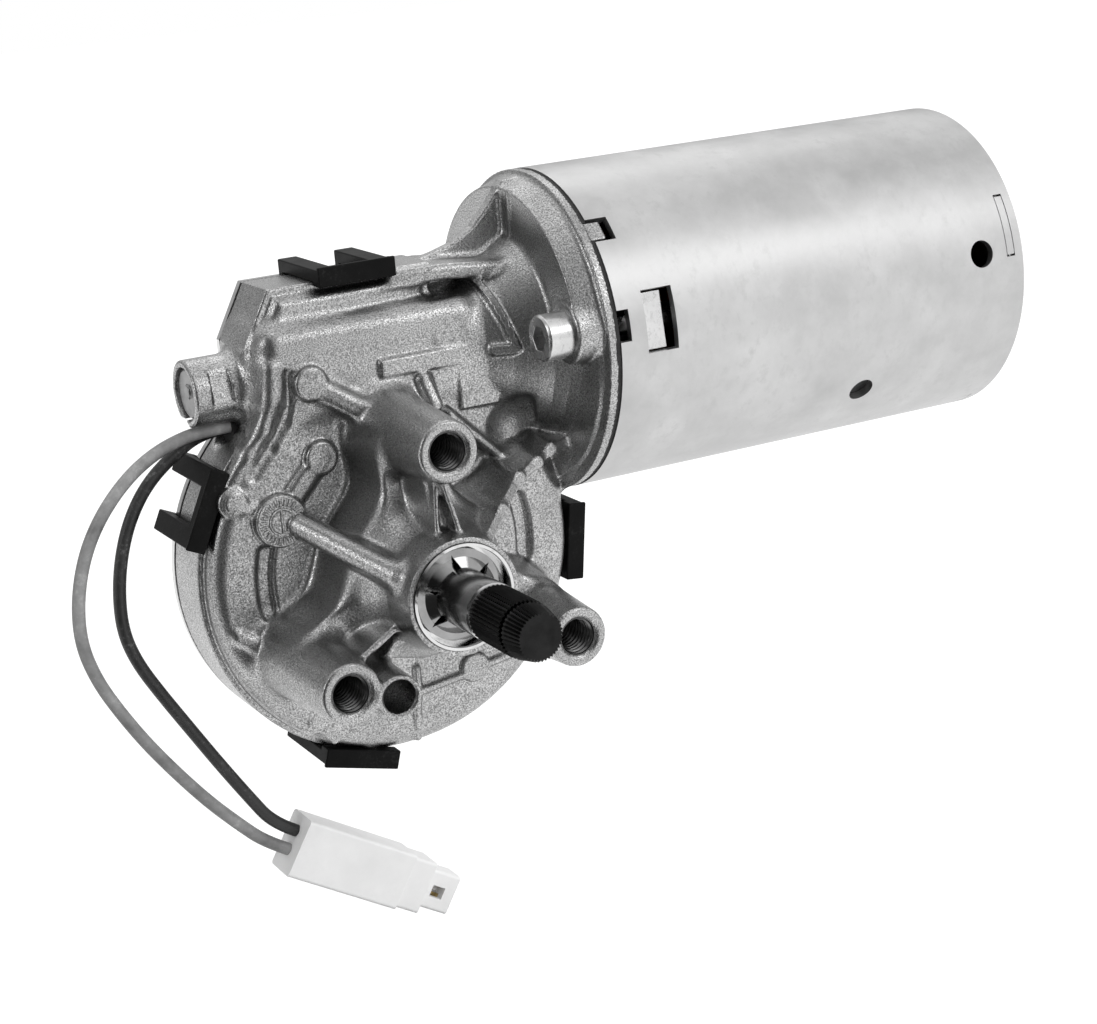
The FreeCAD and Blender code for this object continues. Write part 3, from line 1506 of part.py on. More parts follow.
nodes = {
    "gear_housing": gear_housing(),
    "gear_cover": gear_cover(),
    "cover_gasket": cover_gasket(),
    "cover_clips": cover_clips(),
    "thrust_button": thrust_button(),
    "lead_grommet": lead_grommet(),
    "motor_can": motor_can(),
    "can_end_plate": can_end_plate(),
    "can_end_bush": can_end_bush(),
    "end_bush_retainer": end_bush_retainer(),
    "flange_seal": flange_seal(),
    "can_screws": can_screws(),
    "can_nuts": can_nuts(),
    "magnets": magnets(),
    "magnet_springs": magnet_springs(),
    "armature_shaft": armature_shaft(),
    "armature_core": armature_core(),
    "armature_windings": armature_windings(),
    "commutator": commutator(),
    "bearing_outer_ring": bearing_outer_ring(),
    "bearing_inner_ring": bearing_inner_ring(),
    "bearing_balls": bearing_balls(),
    "bearing_cage": bearing_cage(),
    "bearing_retainer": bearing_retainer(),
    "tip_bush": tip_bush(),
    "thrust_plug": thrust_plug(),
    "brush_plate": brush_plate(),
    "brush_holders": brush_holders(),
    "upper_brush": brush(0),
    "lower_brush": brush(180),
    "upper_brush_spring": brush_spring(0),
    "lower_brush_spring": brush_spring(180),
    "suppression_chokes": suppression_chokes(),
    "worm_wheel": worm_wheel(),
    "wheel_hub": wheel_hub(),
    "output_shaft": output_shaft(),
    "front_hub_bush": hub_bush(front_bush_start, front_bush_end),
    "rear_hub_bush": hub_bush(rear_bush_start, floor_y),
    "shaft_seal": shaft_seal(),
    "hub_cup": hub_cup(),
    "star_washer": star_washer(),
    "thrust_washer": thrust_washer(),
    "grey_lead": lead("grey_lead", grey_steps, lead_offset),
    "black_lead": lead("black_lead", black_steps, lead_offset - lead_pitch),
    "connector_housing": connector_housing(),
    "connector_terminals": connector_terminals(),
}

for name, shape in nodes.items():
    print(name, "valid", shape.isValid(), "solids", len(shape.Solids), "volume", round(shape.Volume, 1))
    shape.exportStep("parts/" + name + ".step")
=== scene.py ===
import math
import bmesh
import bpy
import numpy as np
from mathutils import Matrix, Vector


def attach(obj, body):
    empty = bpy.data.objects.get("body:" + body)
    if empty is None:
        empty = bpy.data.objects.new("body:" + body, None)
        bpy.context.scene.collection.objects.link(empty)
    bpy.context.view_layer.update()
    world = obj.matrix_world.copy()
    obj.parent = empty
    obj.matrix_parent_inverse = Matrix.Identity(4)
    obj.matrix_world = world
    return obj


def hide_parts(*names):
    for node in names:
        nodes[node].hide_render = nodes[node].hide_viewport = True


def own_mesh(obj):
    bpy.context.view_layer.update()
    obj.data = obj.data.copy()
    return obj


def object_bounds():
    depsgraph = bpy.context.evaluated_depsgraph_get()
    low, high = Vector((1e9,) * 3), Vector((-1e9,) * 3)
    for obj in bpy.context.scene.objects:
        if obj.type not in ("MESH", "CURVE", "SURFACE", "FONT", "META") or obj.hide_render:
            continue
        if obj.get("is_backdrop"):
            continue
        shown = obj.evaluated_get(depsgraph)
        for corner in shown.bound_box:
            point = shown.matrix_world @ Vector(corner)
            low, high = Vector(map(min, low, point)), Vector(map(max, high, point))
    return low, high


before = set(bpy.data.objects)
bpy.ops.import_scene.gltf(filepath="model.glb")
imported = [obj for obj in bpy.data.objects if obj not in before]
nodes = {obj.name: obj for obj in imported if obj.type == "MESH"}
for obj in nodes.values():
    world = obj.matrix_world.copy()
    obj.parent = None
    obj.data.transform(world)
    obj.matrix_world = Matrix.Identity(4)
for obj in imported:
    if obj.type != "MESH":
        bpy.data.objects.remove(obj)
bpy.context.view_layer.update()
mm = 0.001
print("frame loaded,", len(nodes), "nodes")


# camera

cameraView = {
    "azimuth": -27.321, "elevation": 15.999, "roll": -4.607,   # degrees, fitted to the round parts of the photo
    "focalPixels": 2323.9, "frameWidth": 1097,
    "aside": 17.40, "above": 16.94, "distance": 469.71,        # mm from the origin along the camera's own axes
}


def newObject(name, data):
    thing = bpy.data.objects.new(name, data)
    bpy.context.scene.collection.objects.link(thing)
    return thing


def makeCamera(view):
    azimuth, elevation, roll = (math.radians(view[key]) for key in ("azimuth", "elevation", "roll"))
    back = Vector((math.sin(azimuth) * math.cos(elevation), -math.cos(azimuth) * math.cos(elevation),
                   math.sin(elevation)))
    levelRight = Vector((math.cos(azimuth), math.sin(azimuth), 0))
    levelUp = back.cross(levelRight)
    right = math.cos(roll) * levelRight + math.sin(roll) * levelUp
    up = math.cos(roll) * levelUp - math.sin(roll) * levelRight
    place = (right * view["aside"] + up * view["above"] + back * view["distance"]) * mm
    data = bpy.data.cameras.new("photoCamera")
    data.sensor_fit = "HORIZONTAL"
    data.sensor_width = 36
    data.lens = view["focalPixels"] * data.sensor_width / view["frameWidth"]
    data.clip_start = 0.01
    data.clip_end = 20
    camera = newObject("photoCamera", data)
    camera.matrix_world = Matrix((
        (right.x, up.x, back.x, place.x), (right.y, up.y, back.y, place.y),
        (right.z, up.z, back.z, place.z), (0, 0, 0, 1)))
    bpy.context.scene.camera = camera


makeCamera(cameraView)
print("camera placed")


# small helpers for node trees

def addNode(tree, kind, **values):
    node = tree.nodes.new(kind)
    for key, value in values.items():
        setattr(node, key, value)
    return node


# A socket takes a link where the value is another node's output, and a plain value otherwise.
def fill(socket, value):
    if isinstance(value, bpy.types.NodeSocket):
        socket.id_data.links.new(value, socket)
    else:
        socket.default_value = value


def setInputs(node, **values):
    for key, value in values.items():
        fill(node.inputs[key.replace("_", " ")], value)
    return node


# A node whose first inputs are filled in order; gives its first output.
def chain(tree, kind, *inputs, **values):
    node = addNode(tree, kind, **values)
    for socket, value in zip(node.inputs, inputs):
        fill(socket, value)
    return node.outputs[0]


def mathNode(tree, operation, *inputs):
    return chain(tree, "ShaderNodeMath", *inputs, operation=operation)


# A node group of plain numbers: its inputs with their defaults, its output names, and the place in the object.
def newGroup(name, inputs, outputs):
    group = bpy.data.node_groups.new(name, "ShaderNodeTree")
    for label, default in inputs.items():
        socket = group.interface.new_socket(label, in_out="INPUT", socket_type="NodeSocketFloat")
        socket.default_value = default
    for label in outputs:
        group.interface.new_socket(label, in_out="OUTPUT", socket_type="NodeSocketFloat")
    place = addNode(group, "ShaderNodeTexCoord").outputs["Object"]
    return group, group.nodes.new("NodeGroupInput").outputs, group.nodes.new("NodeGroupOutput"), place


def noiseNode(tree, vector, scale, detail, roughness):
    node = addNode(tree, "ShaderNodeTexNoise")
    return setInputs(node, Vector=vector, Scale=scale, Detail=detail, Roughness=roughness).outputs["Fac"]


def stretchNode(tree, vector, scale):
    return setInputs(addNode(tree, "ShaderNodeMapping"), Vector=vector, Scale=scale).outputs["Vector"]


def rangeNode(tree, value, low, high, outLow=0.0, outHigh=1.0):
    node = addNode(tree, "ShaderNodeMapRange")
    setInputs(node, Value=value, From_Min=low, From_Max=high, To_Min=outLow, To_Max=outHigh)
    return node.outputs["Result"]


def mixColour(tree, mask, first, second):
    node = addNode(tree, "ShaderNodeMix", data_type="RGBA")
    for number, value in ((0, mask), (6, first), (7, second)):
        fill(node.inputs[number], value)
    return node.outputs[2]


def grey(value, warm=0.0):
    return (value * (1 + warm), value, value * (1 - warm), 1)


# shader groups that several materials share

# Sandy skin of a casting: fine grains, a few larger pits and slow cloudy patches.
def makeCastGrain():
    group, source, sink, place = newGroup("castGrain", {"Grain per m": 2600.0, "Cloud per m": 90.0},
                                          ("Height", "Speckle", "Cloud"))
    grain = noiseNode(group, place, source["Grain per m"], 3.0, 0.62)
    cloud = noiseNode(group, place, source["Cloud per m"], 4.0, 0.55)
    pits = addNode(group, "ShaderNodeTexVoronoi", feature="SMOOTH_F1")
    setInputs(pits, Vector=place, Scale=mathNode(group, "MULTIPLY", source["Grain per m"], 0.55), Smoothness=0.6)
    pitDepth = mathNode(group, "MULTIPLY", pits.outputs["Distance"], 0.35)
    setInputs(sink, Height=mathNode(group, "MULTIPLY_ADD", grain, 0.65, pitDepth),
              Speckle=rangeNode(group, grain, 0.36, 0.64), Cloud=rangeNode(group, cloud, 0.32, 0.68))
    return group


# Rolled and plated sheet: fine lines along the sheet, cloudy plating and small scuffs.
def makeRolledSheet():
    group, source, sink, place = newGroup("rolledSheet", {"Line per m": 900.0, "Cloud per m": 45.0},
                                          ("Lines", "Cloud", "Scuff"))
    lines = noiseNode(group, stretchNode(group, place, (0.05, 1.0, 1.0)), source["Line per m"], 3.0, 0.6)
    cloud = noiseNode(group, place, source["Cloud per m"], 6.0, 0.62)
    scuffScale = mathNode(group, "MULTIPLY", source["Cloud per m"], 6.0)
    scuff = noiseNode(group, stretchNode(group, place, (1.0, 0.8, 0.8)), scuffScale, 8.0, 0.7)
    setInputs(sink, Lines=lines, Cloud=rangeNode(group, cloud, 0.3, 0.7),
              Scuff=rangeNode(group, scuff, 0.52, 0.76))
    return group


# Moulded plastic or rubber: a fine orange-peel height, slow tone changes and dusty specks.
def makeMouldedSkin():
    group, source, sink, place = newGroup("mouldedSkin", {"Peel per m": 1500.0, "Tone per m": 120.0},
                                          ("Height", "Tone", "Dust"))
    peel = noiseNode(group, place, source["Peel per m"], 2.0, 0.6)
    tone = noiseNode(group, place, source["Tone per m"], 5.0, 0.6)
    both = mathNode(group, "MULTIPLY", peel, tone)
    setInputs(sink, Height=peel, Tone=rangeNode(group, tone, 0.3, 0.7), Dust=rangeNode(group, both, 0.3, 0.42))
    return group


castGrain = makeCastGrain()
rolledSheet = makeRolledSheet()
mouldedSkin = makeMouldedSkin()


# The emptied node tree of a material or world, and the surface socket of its new output node.
def emptyTree(owner, outputKind):
    owner.use_nodes = True
    owner.node_tree.nodes.clear()
    return owner.node_tree, addNode(owner.node_tree, outputKind).inputs["Surface"]


def startMaterial(name):
    material = bpy.data.materials.new(name)
    tree, surface = emptyTree(material, "ShaderNodeOutputMaterial")
    shader = addNode(tree, "ShaderNodeBsdfPrincipled")
    fill(surface, shader.outputs["BSDF"])
    return material, tree, shader


def placeGroup(tree, group, **values):
    return setInputs(addNode(tree, "ShaderNodeGroup", node_tree=group), **values).outputs


def addBump(tree, shader, height, strength, distance):
    bump = setInputs(addNode(tree, "ShaderNodeBump"), Height=height, Strength=strength, Distance=distance)
    setInputs(shader, Normal=bump.outputs["Normal"])


def castMaterial(name, look):
    material, tree, shader = startMaterial(name)
    grain = placeGroup(tree, castGrain, Grain_per_m=look["grain"], Cloud_per_m=look["cloud"])
    cloudy = mixColour(tree, grain["Cloud"], grey(look["dark"]), grey(look["light"]))
    rough = rangeNode(tree, grain["Speckle"], 0, 1, look["roughHigh"], look["roughLow"])
    speckled = mixColour(tree, grain["Speckle"], grey(look["pit"]), cloudy)
    setInputs(shader, Base_Color=speckled, Roughness=rough, Metallic=1.0)
    addBump(tree, shader, grain["Height"], look["bump"], look["bumpDepth"])
    return material


def sheetMaterial(name, look):
    material, tree, shader = startMaterial(name)
    sheet = placeGroup(tree, rolledSheet, Line_per_m=look["lines"], Cloud_per_m=look["cloud"])
    cloudy = mixColour(tree, sheet["Cloud"], grey(look["dark"]), grey(look["light"]))
    scuffed = mixColour(tree, sheet["Scuff"], cloudy, grey(look["scuff"]))
    rough = mathNode(tree, "MULTIPLY_ADD", sheet["Cloud"], look["roughSpread"], look["rough"])
    setInputs(shader, Base_Color=scuffed, Roughness=rough, Metallic=1.0)
    addBump(tree, shader, sheet["Lines"], look["bump"], look["bumpDepth"])
    return material


def mouldedMaterial(name, look):
    material, tree, shader = startMaterial(name)
    skin = placeGroup(tree, mouldedSkin, Peel_per_m=look["peel"], Tone_per_m=look["tone"])
    toned = mixColour(tree, skin["Tone"], look["dark"], look["light"])
    dusty = mixColour(tree, mathNode(tree, "MULTIPLY", skin["Dust"], look["dust"]), toned, grey(0.5))
    rough = mathNode(tree, "MULTIPLY_ADD", skin["Tone"], look["roughSpread"], look["rough"])
    setInputs(shader, Base_Color=dusty, Roughness=rough, Metallic=0.0, Specular_IOR_Level=look.get("gloss", 0.5))
    addBump(tree, shader, skin["Height"], look["bump"], look["bumpDepth"])
    return material


materials = {
    "casting": castMaterial("castAluminium", {
        "grain": 3200.0, "cloud": 70.0, "dark": 0.49, "light": 0.65, "pit": 0.17, "roughHigh": 0.42,
        "roughLow": 0.24, "bump": 0.6, "bumpDepth": 0.00014}),
    "can": sheetMaterial("rolledZinc", {
        "lines": 1100.0, "cloud": 60.0, "dark": 0.44, "light": 0.60, "scuff": 0.47, "rough": 0.38,
        "roughSpread": 0.12, "bump": 0.10, "bumpDepth": 0.00004}),
    "pressed": sheetMaterial("pressedSteel", {
        "lines": 1500.0, "cloud": 90.0, "dark": 0.56, "light": 0.68, "scuff": 0.45, "rough": 0.07,
        "roughSpread": 0.06, "bump": 0.03, "bumpDepth": 0.00002}),
    "screw": sheetMaterial("screwZinc", {
        "lines": 1800.0, "cloud": 150.0, "dark": 0.55, "light": 0.70, "scuff": 0.35, "rough": 0.22,
        "roughSpread": 0.12, "bump": 0.10, "bumpDepth": 0.00003}),
    "clip": mouldedMaterial("blackNylon", {
        "peel": 1400.0, "tone": 140.0, "dark": grey(0.004), "light": grey(0.009), "dust": 0.02, "rough": 0.38,
        "roughSpread": 0.14, "bump": 0.16, "bumpDepth": 0.00008, "gloss": 0.06}),
    "rubber": mouldedMaterial("sealRubber", {
        "peel": 2200.0, "tone": 200.0, "dark": grey(0.008), "light": grey(0.016), "dust": 0.05, "rough": 0.62,
        "roughSpread": 0.10, "bump": 0.10, "bumpDepth": 0.00005}),
    "nylon": mouldedMaterial("whiteNylon", {
        "peel": 900.0, "tone": 110.0, "dark": grey(0.80), "light": grey(0.88), "dust": 0.04, "rough": 0.36,
        "roughSpread": 0.12, "bump": 0.05, "bumpDepth": 0.00008}),
    "acetal": mouldedMaterial("wheelAcetal", {
        "peel": 900.0, "tone": 110.0, "dark": grey(0.62, 0.04), "light": grey(0.74, 0.04), "dust": 0.05,
        "rough": 0.4, "roughSpread": 0.1, "bump": 0.05, "bumpDepth": 0.00008}),
    "greyLead": mouldedMaterial("greyInsulation", {
        "peel": 1200.0, "tone": 130.0, "dark": grey(0.13), "light": grey(0.34), "dust": 0.30, "rough": 0.42,
        "roughSpread": 0.2, "bump": 0.12, "bumpDepth": 0.00008}),
    "blackLead": mouldedMaterial("blackInsulation", {
        "peel": 1200.0, "tone": 160.0, "dark": grey(0.010), "light": grey(0.030), "dust": 0.12, "rough": 0.38,
        "roughSpread": 0.2, "bump": 0.12, "bumpDepth": 0.00008}),
}


# A metal of one tint with fine lines, for the pieces inside the motor.
def tintedMetal(name, dark, light, rough, bump):
    material, tree, shader = startMaterial(name)
    sheet = placeGroup(tree, rolledSheet, Line_per_m=1400.0, Cloud_per_m=120.0)
    setInputs(shader, Base_Color=mixColour(tree, sheet["Cloud"], dark, light),
              Roughness=mathNode(tree, "MULTIPLY_ADD", sheet["Scuff"], 0.15, rough), Metallic=1.0)
    addBump(tree, shader, sheet["Lines"], bump, 0.00003)
    return material


# Metals inside the motor and small steel pieces: material name, dark and light tint, roughness, bump strength.
tintedMetals = {
    "bronze": ("sinteredBronze", (0.42, 0.27, 0.13, 1), (0.55, 0.37, 0.18, 1), 0.4, 0.1),
    "brass": ("pressedBrass", (0.66, 0.48, 0.20, 1), (0.78, 0.60, 0.28, 1), 0.25, 0.1),
    "copper": ("turnedCopper", (0.60, 0.28, 0.16, 1), (0.74, 0.38, 0.22, 1), 0.28, 0.1),
    "winding": ("enamelledWire", (0.34, 0.11, 0.04, 1), (0.48, 0.18, 0.07, 1), 0.3, 0.5),
    "core": ("coreSheet", grey(0.22), grey(0.34), 0.4, 0.4),
    "ferrite": ("groundFerrite", grey(0.06), grey(0.10), 0.5, 0.1),
    "carbon": ("brushCarbon", grey(0.03), grey(0.06), 0.5, 0.1),
    # The thread sleeves' metal is much darker than bare aluminium: painted shade of the deep bores.
    "turned": ("threadMetalDarkenedAsShade", grey(0.10), grey(0.18), 0.3, 0.15),
    "plug": ("plugSteel", grey(0.16), grey(0.30), 0.34, 0.2),
    # The star washer's steel is darkened as painted shade, for the dark reflections in its faces.
    "washer": ("springSteelDarkenedAsShade", grey(0.20), grey(0.34), 0.10, 0.05),
    "steel": ("groundSteel", grey(0.48), grey(0.62), 0.2, 0.1),
}
for metal, look in tintedMetals.items():
    materials[metal] = tintedMetal(*look)


# Ground steel that turns to black oxide past the collar of the output shaft.
def shaftMaterial(look):
    material, tree, shader = startMaterial("shaftSteel")
    sheet = placeGroup(tree, rolledSheet, Line_per_m=1500.0, Cloud_per_m=140.0)
    split = addNode(tree, "ShaderNodeSeparateXYZ")
    setInputs(split, Vector=addNode(tree, "ShaderNodeTexCoord").outputs["Object"])
    oxide = rangeNode(tree, split.outputs["Y"], look["brightFrom"] * mm, look["oxideFrom"] * mm)
    bright, dark = (mixColour(tree, sheet["Cloud"], *map(grey, look[key])) for key in ("bright", "oxide"))
    setInputs(shader, Base_Color=mixColour(tree, oxide, bright, dark), Metallic=1.0,
              Roughness=mathNode(tree, "MULTIPLY_ADD", oxide, look["roughRise"], look["rough"]))
    addBump(tree, shader, sheet["Lines"], 0.08, 0.00003)
    return material


materials["shaft"] = shaftMaterial({"brightFrom": -13.8, "oxideFrom": -14.4, "bright": (0.48, 0.62),
                                    "oxide": (0.010, 0.028), "rough": 0.18, "roughRise": 0.14})
print("materials made")


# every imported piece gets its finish

finishes = {
    "casting": ["gear_housing"],
    "can": ["motor_can", "can_end_plate"],
    "pressed": ["gear_cover", "hub_cup", "thrust_washer", "bearing_retainer", "magnet_springs",
                "end_bush_retainer"],
    "washer": ["star_washer"],
    "screw": ["can_screws", "can_nuts"],
    "plug": ["thrust_plug"],
    "clip": ["cover_clips", "brush_plate"],
    "rubber": ["cover_gasket", "flange_seal", "shaft_seal", "lead_grommet"],
    "shaft": ["output_shaft"],
    "steel": ["armature_shaft", "wheel_hub", "bearing_outer_ring", "bearing_inner_ring", "bearing_balls",
              "upper_brush_spring", "lower_brush_spring"],
    "bronze": ["front_hub_bush", "rear_hub_bush", "tip_bush", "can_end_bush", "bearing_cage"],
    "acetal": ["worm_wheel", "thrust_button"],
    "ferrite": ["magnets", "suppression_chokes"],
    "core": ["armature_core"],
    "winding": ["armature_windings"],
    "copper": ["commutator"],
    "carbon": ["upper_brush", "lower_brush"],
    "brass": ["brush_holders", "connector_terminals"],
    "nylon": ["connector_housing"],
    "greyLead": ["grey_lead"],
    "blackLead": ["black_lead"],
}
for finish, names in finishes.items():
    for name in names:
        for slot in nodes[name].material_slots:
            slot.material = materials[finish]


# leads

# Shared by both leads, in mm: where they leave the grommet, and from there to the connector's lead end.
leadShape = {"radius": 1.38, "exit": (-29.4, 45.6, 32.2), "connectorShift": (1.5, -5.6, -92.8), "slope": -31.9,
             "lastRun": 6.0}

# Each lead: its length, its place down the connector's end, and its way as steps from the exit.
leadRuns = {
    "greyLead": {"node": "grey_lead", "slot": "grey_insulation", "length": 131.0, "down": 1.6, "steps": [
        (0.0, -1.6, 0.7), (-4.3, -1.6, 0.7), (-9.5, -1.7, 0.4), (-16.9, -2.0, -1.8), (-23.8, -2.4, -6.0),
        (-30.2, -2.8, -12.5), (-34.8, -3.2, -20.0), (-37.6, -3.7, -29.0), (-38.2, -4.1, -38.0),
        (-36.0, -4.4, -46.4), (-32.2, -4.7, -54.2), (-27.6, -5.0, -62.2), (-22.0, -5.2, -70.4),
        (-16.0, -5.4, -78.4), (-10.0, -5.5, -85.2)]},
    "blackLead": {"node": "black_lead", "slot": "black_insulation", "length": 114.3, "down": -2.8, "steps": [
        (0.0, 1.6, -0.3), (-5.2, 1.6, -0.3), (-12.0, 1.6, -4.0), (-18.4, 1.3, -8.9), (-23.1, 0.8, -15.4),
        (-26.2, 0.3, -23.0), (-27.9, -0.3, -31.2), (-28.1, -0.9, -38.8), (-26.2, -1.6, -45.6),
        (-22.4, -2.4, -53.0), (-17.4, -3.2, -61.8), (-12.1, -4.1, -71.1), (-6.6, -5.0, -80.2)]},
}


# A point of the connector in mm, from its lead end along its length and down its height.
def connectorPoint(along, down):
    slope = math.radians(leadShape["slope"])
    entry = np.add(leadShape["exit"], leadShape["connectorShift"])
    return entry + (along * math.cos(slope) + down * math.sin(slope), 0,
                    along * math.sin(slope) - down * math.cos(slope))


def makeLead(name, run):
    points = [np.add(leadShape["exit"], step) for step in run["steps"]]
    points += [connectorPoint(-leadShape["lastRun"], run["down"]), connectorPoint(0, run["down"])]
    curve = bpy.data.curves.new(name, "CURVE")
    curve.dimensions = "3D"
    curve.bevel_depth = leadShape["radius"] * mm
    curve.bevel_resolution = 6
    curve.resolution_u = 10
    curve.use_fill_caps = True
    spline = curve.splines.new("NURBS")
    spline.points.add(len(points) - 1)
    for point, place in zip(spline.points, points):
        point.co = (*(place * mm), 1)
    spline.order_u = 3
    spline.use_endpoint_u = True
    curve.materials.append(materials[name])
    cord = newObject(name, curve)
    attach(cord, "housing")
    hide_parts(run["node"])
    return cord


cords = {name: makeLead(name, run) for name, run in leadRuns.items()}
print("leads laid")


# casting of the gear housing, as a distance field in mm that is meshed once

motorAxis = (42.7, 41.6)                       # y and z of the motor axis
castingShape = {
    "step": 0.5, "quickStep": 1.1, "faces": 185000, "low": (-44.8, -2.4, -44.8), "high": (49.0, 79.2, 78.4),
    "passes": 2, "reach": 0.06, "farthest": 0.4, "normalReach": 0.12,      # how vertices are drawn to the surface
    "rimRadius": 43.2, "rimFront": 35.8, "rimRear": 49.6, "lugTop": 36.2,
    "pillars": [(0.0, 30.0), (-25.981, -15.0), (25.981, -15.0)], "pillarDraft": 0.071,
    "smallPillar": (-15.617, -18.092), "smallDraft": 0.03,
    "lugs": [(15.267, 45.756), (70.133, 37.444)],
    "plateauUp": (0.1495, 0.9888), "capTurn": (0.966, -0.259), "keyTurns": (136.4, 316.4),
    "trenchRadius": 30.4, "trenchSides": (-21.0, 27.0), "trenchTop": 9.5,
    "bowl": (28.9, 24.5, 24.4), "bowlRadius": 8.0,
    "bowlPlanes": [((27.3, 0.0, 19.0), (0.481, 0.0, -0.877), 0.8), ((35.3, 29.5, 0.0), (0.889, -0.459, 0.0), 1.2)],
    "platformRadius": 16.4, "armRadius": 7.4, "armShare": 0.86, "armDraft": 0.16, "pillarRadius": 6.4,
    "steepRib": ((-22.3, 28.1, 13.4), (-11.2, 6.2, 5.4), 2.7),
    "post": ((37.0, 38.4, 61.5), (36.9, 36.7, 73.5), 0.7),
    "wallEnd": 34.0, "boreEdge": 0.2,                      # walls, pads and pillars end inside the face
}

# Corners of flat outlines: (x, z) seen from the front, or (along the axis, radius) of a turned form.
castingOutlines = {
    "block": [(-27.2, 18.0), (-27.2, 50.0), (-21.0, 61.5), (15.5, 61.5), (15.5, 18.0)],
    "innerBlock": [(-23.8, 20.0), (-23.8, 50.0), (-19.0, 58.1), (10.6, 58.1), (10.6, 20.0)],
    "hub": [(-1.0, -4.0), (-1.0, 12.3), (8.0, 12.9), (14.0, 14.2), (34.0, 15.6), (34.0, -4.0)],
    "neck": [(14.0, -9.0), (14.0, 12.6), (19.0, 13.3), (24.0, 15.2), (29.0, 17.8), (33.5, 20.8), (36.2, 22.4),
             (38.6, 24.8), (40.0, 27.2), (40.5, 28.6), (41.2, 32.6), (42.0, 33.2), (42.2, 35.4), (43.9, 35.4),
             (43.9, -9.0)],
    "plateau": [(36.8, 8.0), (36.8, 32.4), (41.6, 34.1), (43.0, 34.4), (43.0, 8.0)],
    "sweep": [(11.0, 60.0), (17.0, 61.6), (24.0, 63.6), (29.5, 66.6), (34.0, 71.2), (37.5, 75.6), (41.0, 75.6),
              (41.0, 60.0)],
    "capRoot": [(-29.6, -4.0), (-29.6, 7.0), (-27.6, 8.3), (-25.4, 10.8), (-22.0, 12.4), (-22.0, -4.0)],
}

# Boxes: ranges along x, y and z, and edge rounding.
castingBoxes = {
    "bulge": ((-25.7, 24.0), (30.0, 56.0), (33.0, 54.4), 4.2),           # squarish upper corner of the tube
    "gap": ((-6.0, 30.0), (20.0, 35.3), (54.9, 57.8), 1.0),              # cut between the tube and the top wall
    "bar": ((-0.6, 22.0), (28.5, 36.0), (40.4, 44.4), 0.8),
    "plate": ((17.4, 26.6), (28.9, 36.0), (30.4, 43.0), 0.6),
    "neckRib": ((24.7, 26.1), (20.0, 45.0), (42.0, 58.6), 0.6),
    "foot": ((24.2, 29.0), (20.0, 40.0), (41.5, 43.6), 0.6),
    "topWall": ((5.0, 41.0), (32.4, 49.6), (57.9, 61.4), 1.4),
    "middleWall": ((12.0, 41.0), (41.0, 44.4), (45.0, 61.0), 0.6),
    "capFlat": ((-35.0, -30.7), (-12.0, -6.05), (30.0, 53.0), 0.4),
    "key": ((42.0, 47.9), (33.9, 35.35), (-2.3, 2.3), 0.3),              # y outward from the motor axis, z aside
    "grommetWall": ((-44.0, -23.6), (30.0, 60.0), (26.2, 38.2), 0.3),
    "bushBlock": ((-30.0, -16.0), (30.0, 60.0), (33.0, 50.2), 0.3),
}

# Round forms: radius, start and end along the axis, and edge rounding.
castingRounds = {
    "face": (41.9, 30.5, 42.0, 3.8), "blockFace": (-1.9, 33.6, 42.0, 2.4), "trench": (1.7, 20.0, 32.0, 0.9),
    "tube": (12.9, -25.7, 24.0, 3.0), "lug": (6.5, 36.0, 43.5, 0.7), "cap": (7.1, -38.7, -20.0, 0.6),
    "small": (4.6, 0.0, 34.0, 0.6), "chamber": (39.8, 33.9, 60.0, 1.0), "lip": (37.4, 33.9, 60.0, 1.0),
}

# Bores along x by their centre (y, z), and along y by their centre (x, z) and mouth: radius, start, end.
boresAlongX = {
    motorAxis: [(7.6, -16.5, 18.0), (5.6, -41.0, 0.0), (4.6, 0.0, 44.5), (11.0, 30.6, 46.0), (28.5, 42.1, 46.0)],
    **{lug: [(3.2, 30.0, 46.0)] for lug in castingShape["lugs"]},
    (45.6, 32.2): [(3.2, -30.0, -22.0), (3.9, -41.0, -28.4)],
}
boresAlongY = {
    (0.0, 0.0, None): [(8.4, 3.4, 35.0), (11.2, -5.0, 3.6)],
    **{(*pillar, 0.7): [(4.0, -5.0, 20.0)] for pillar in castingShape["pillars"]},
    (*castingShape["smallPillar"], 0.6): [(3.5, -5.0, 16.0)],
}

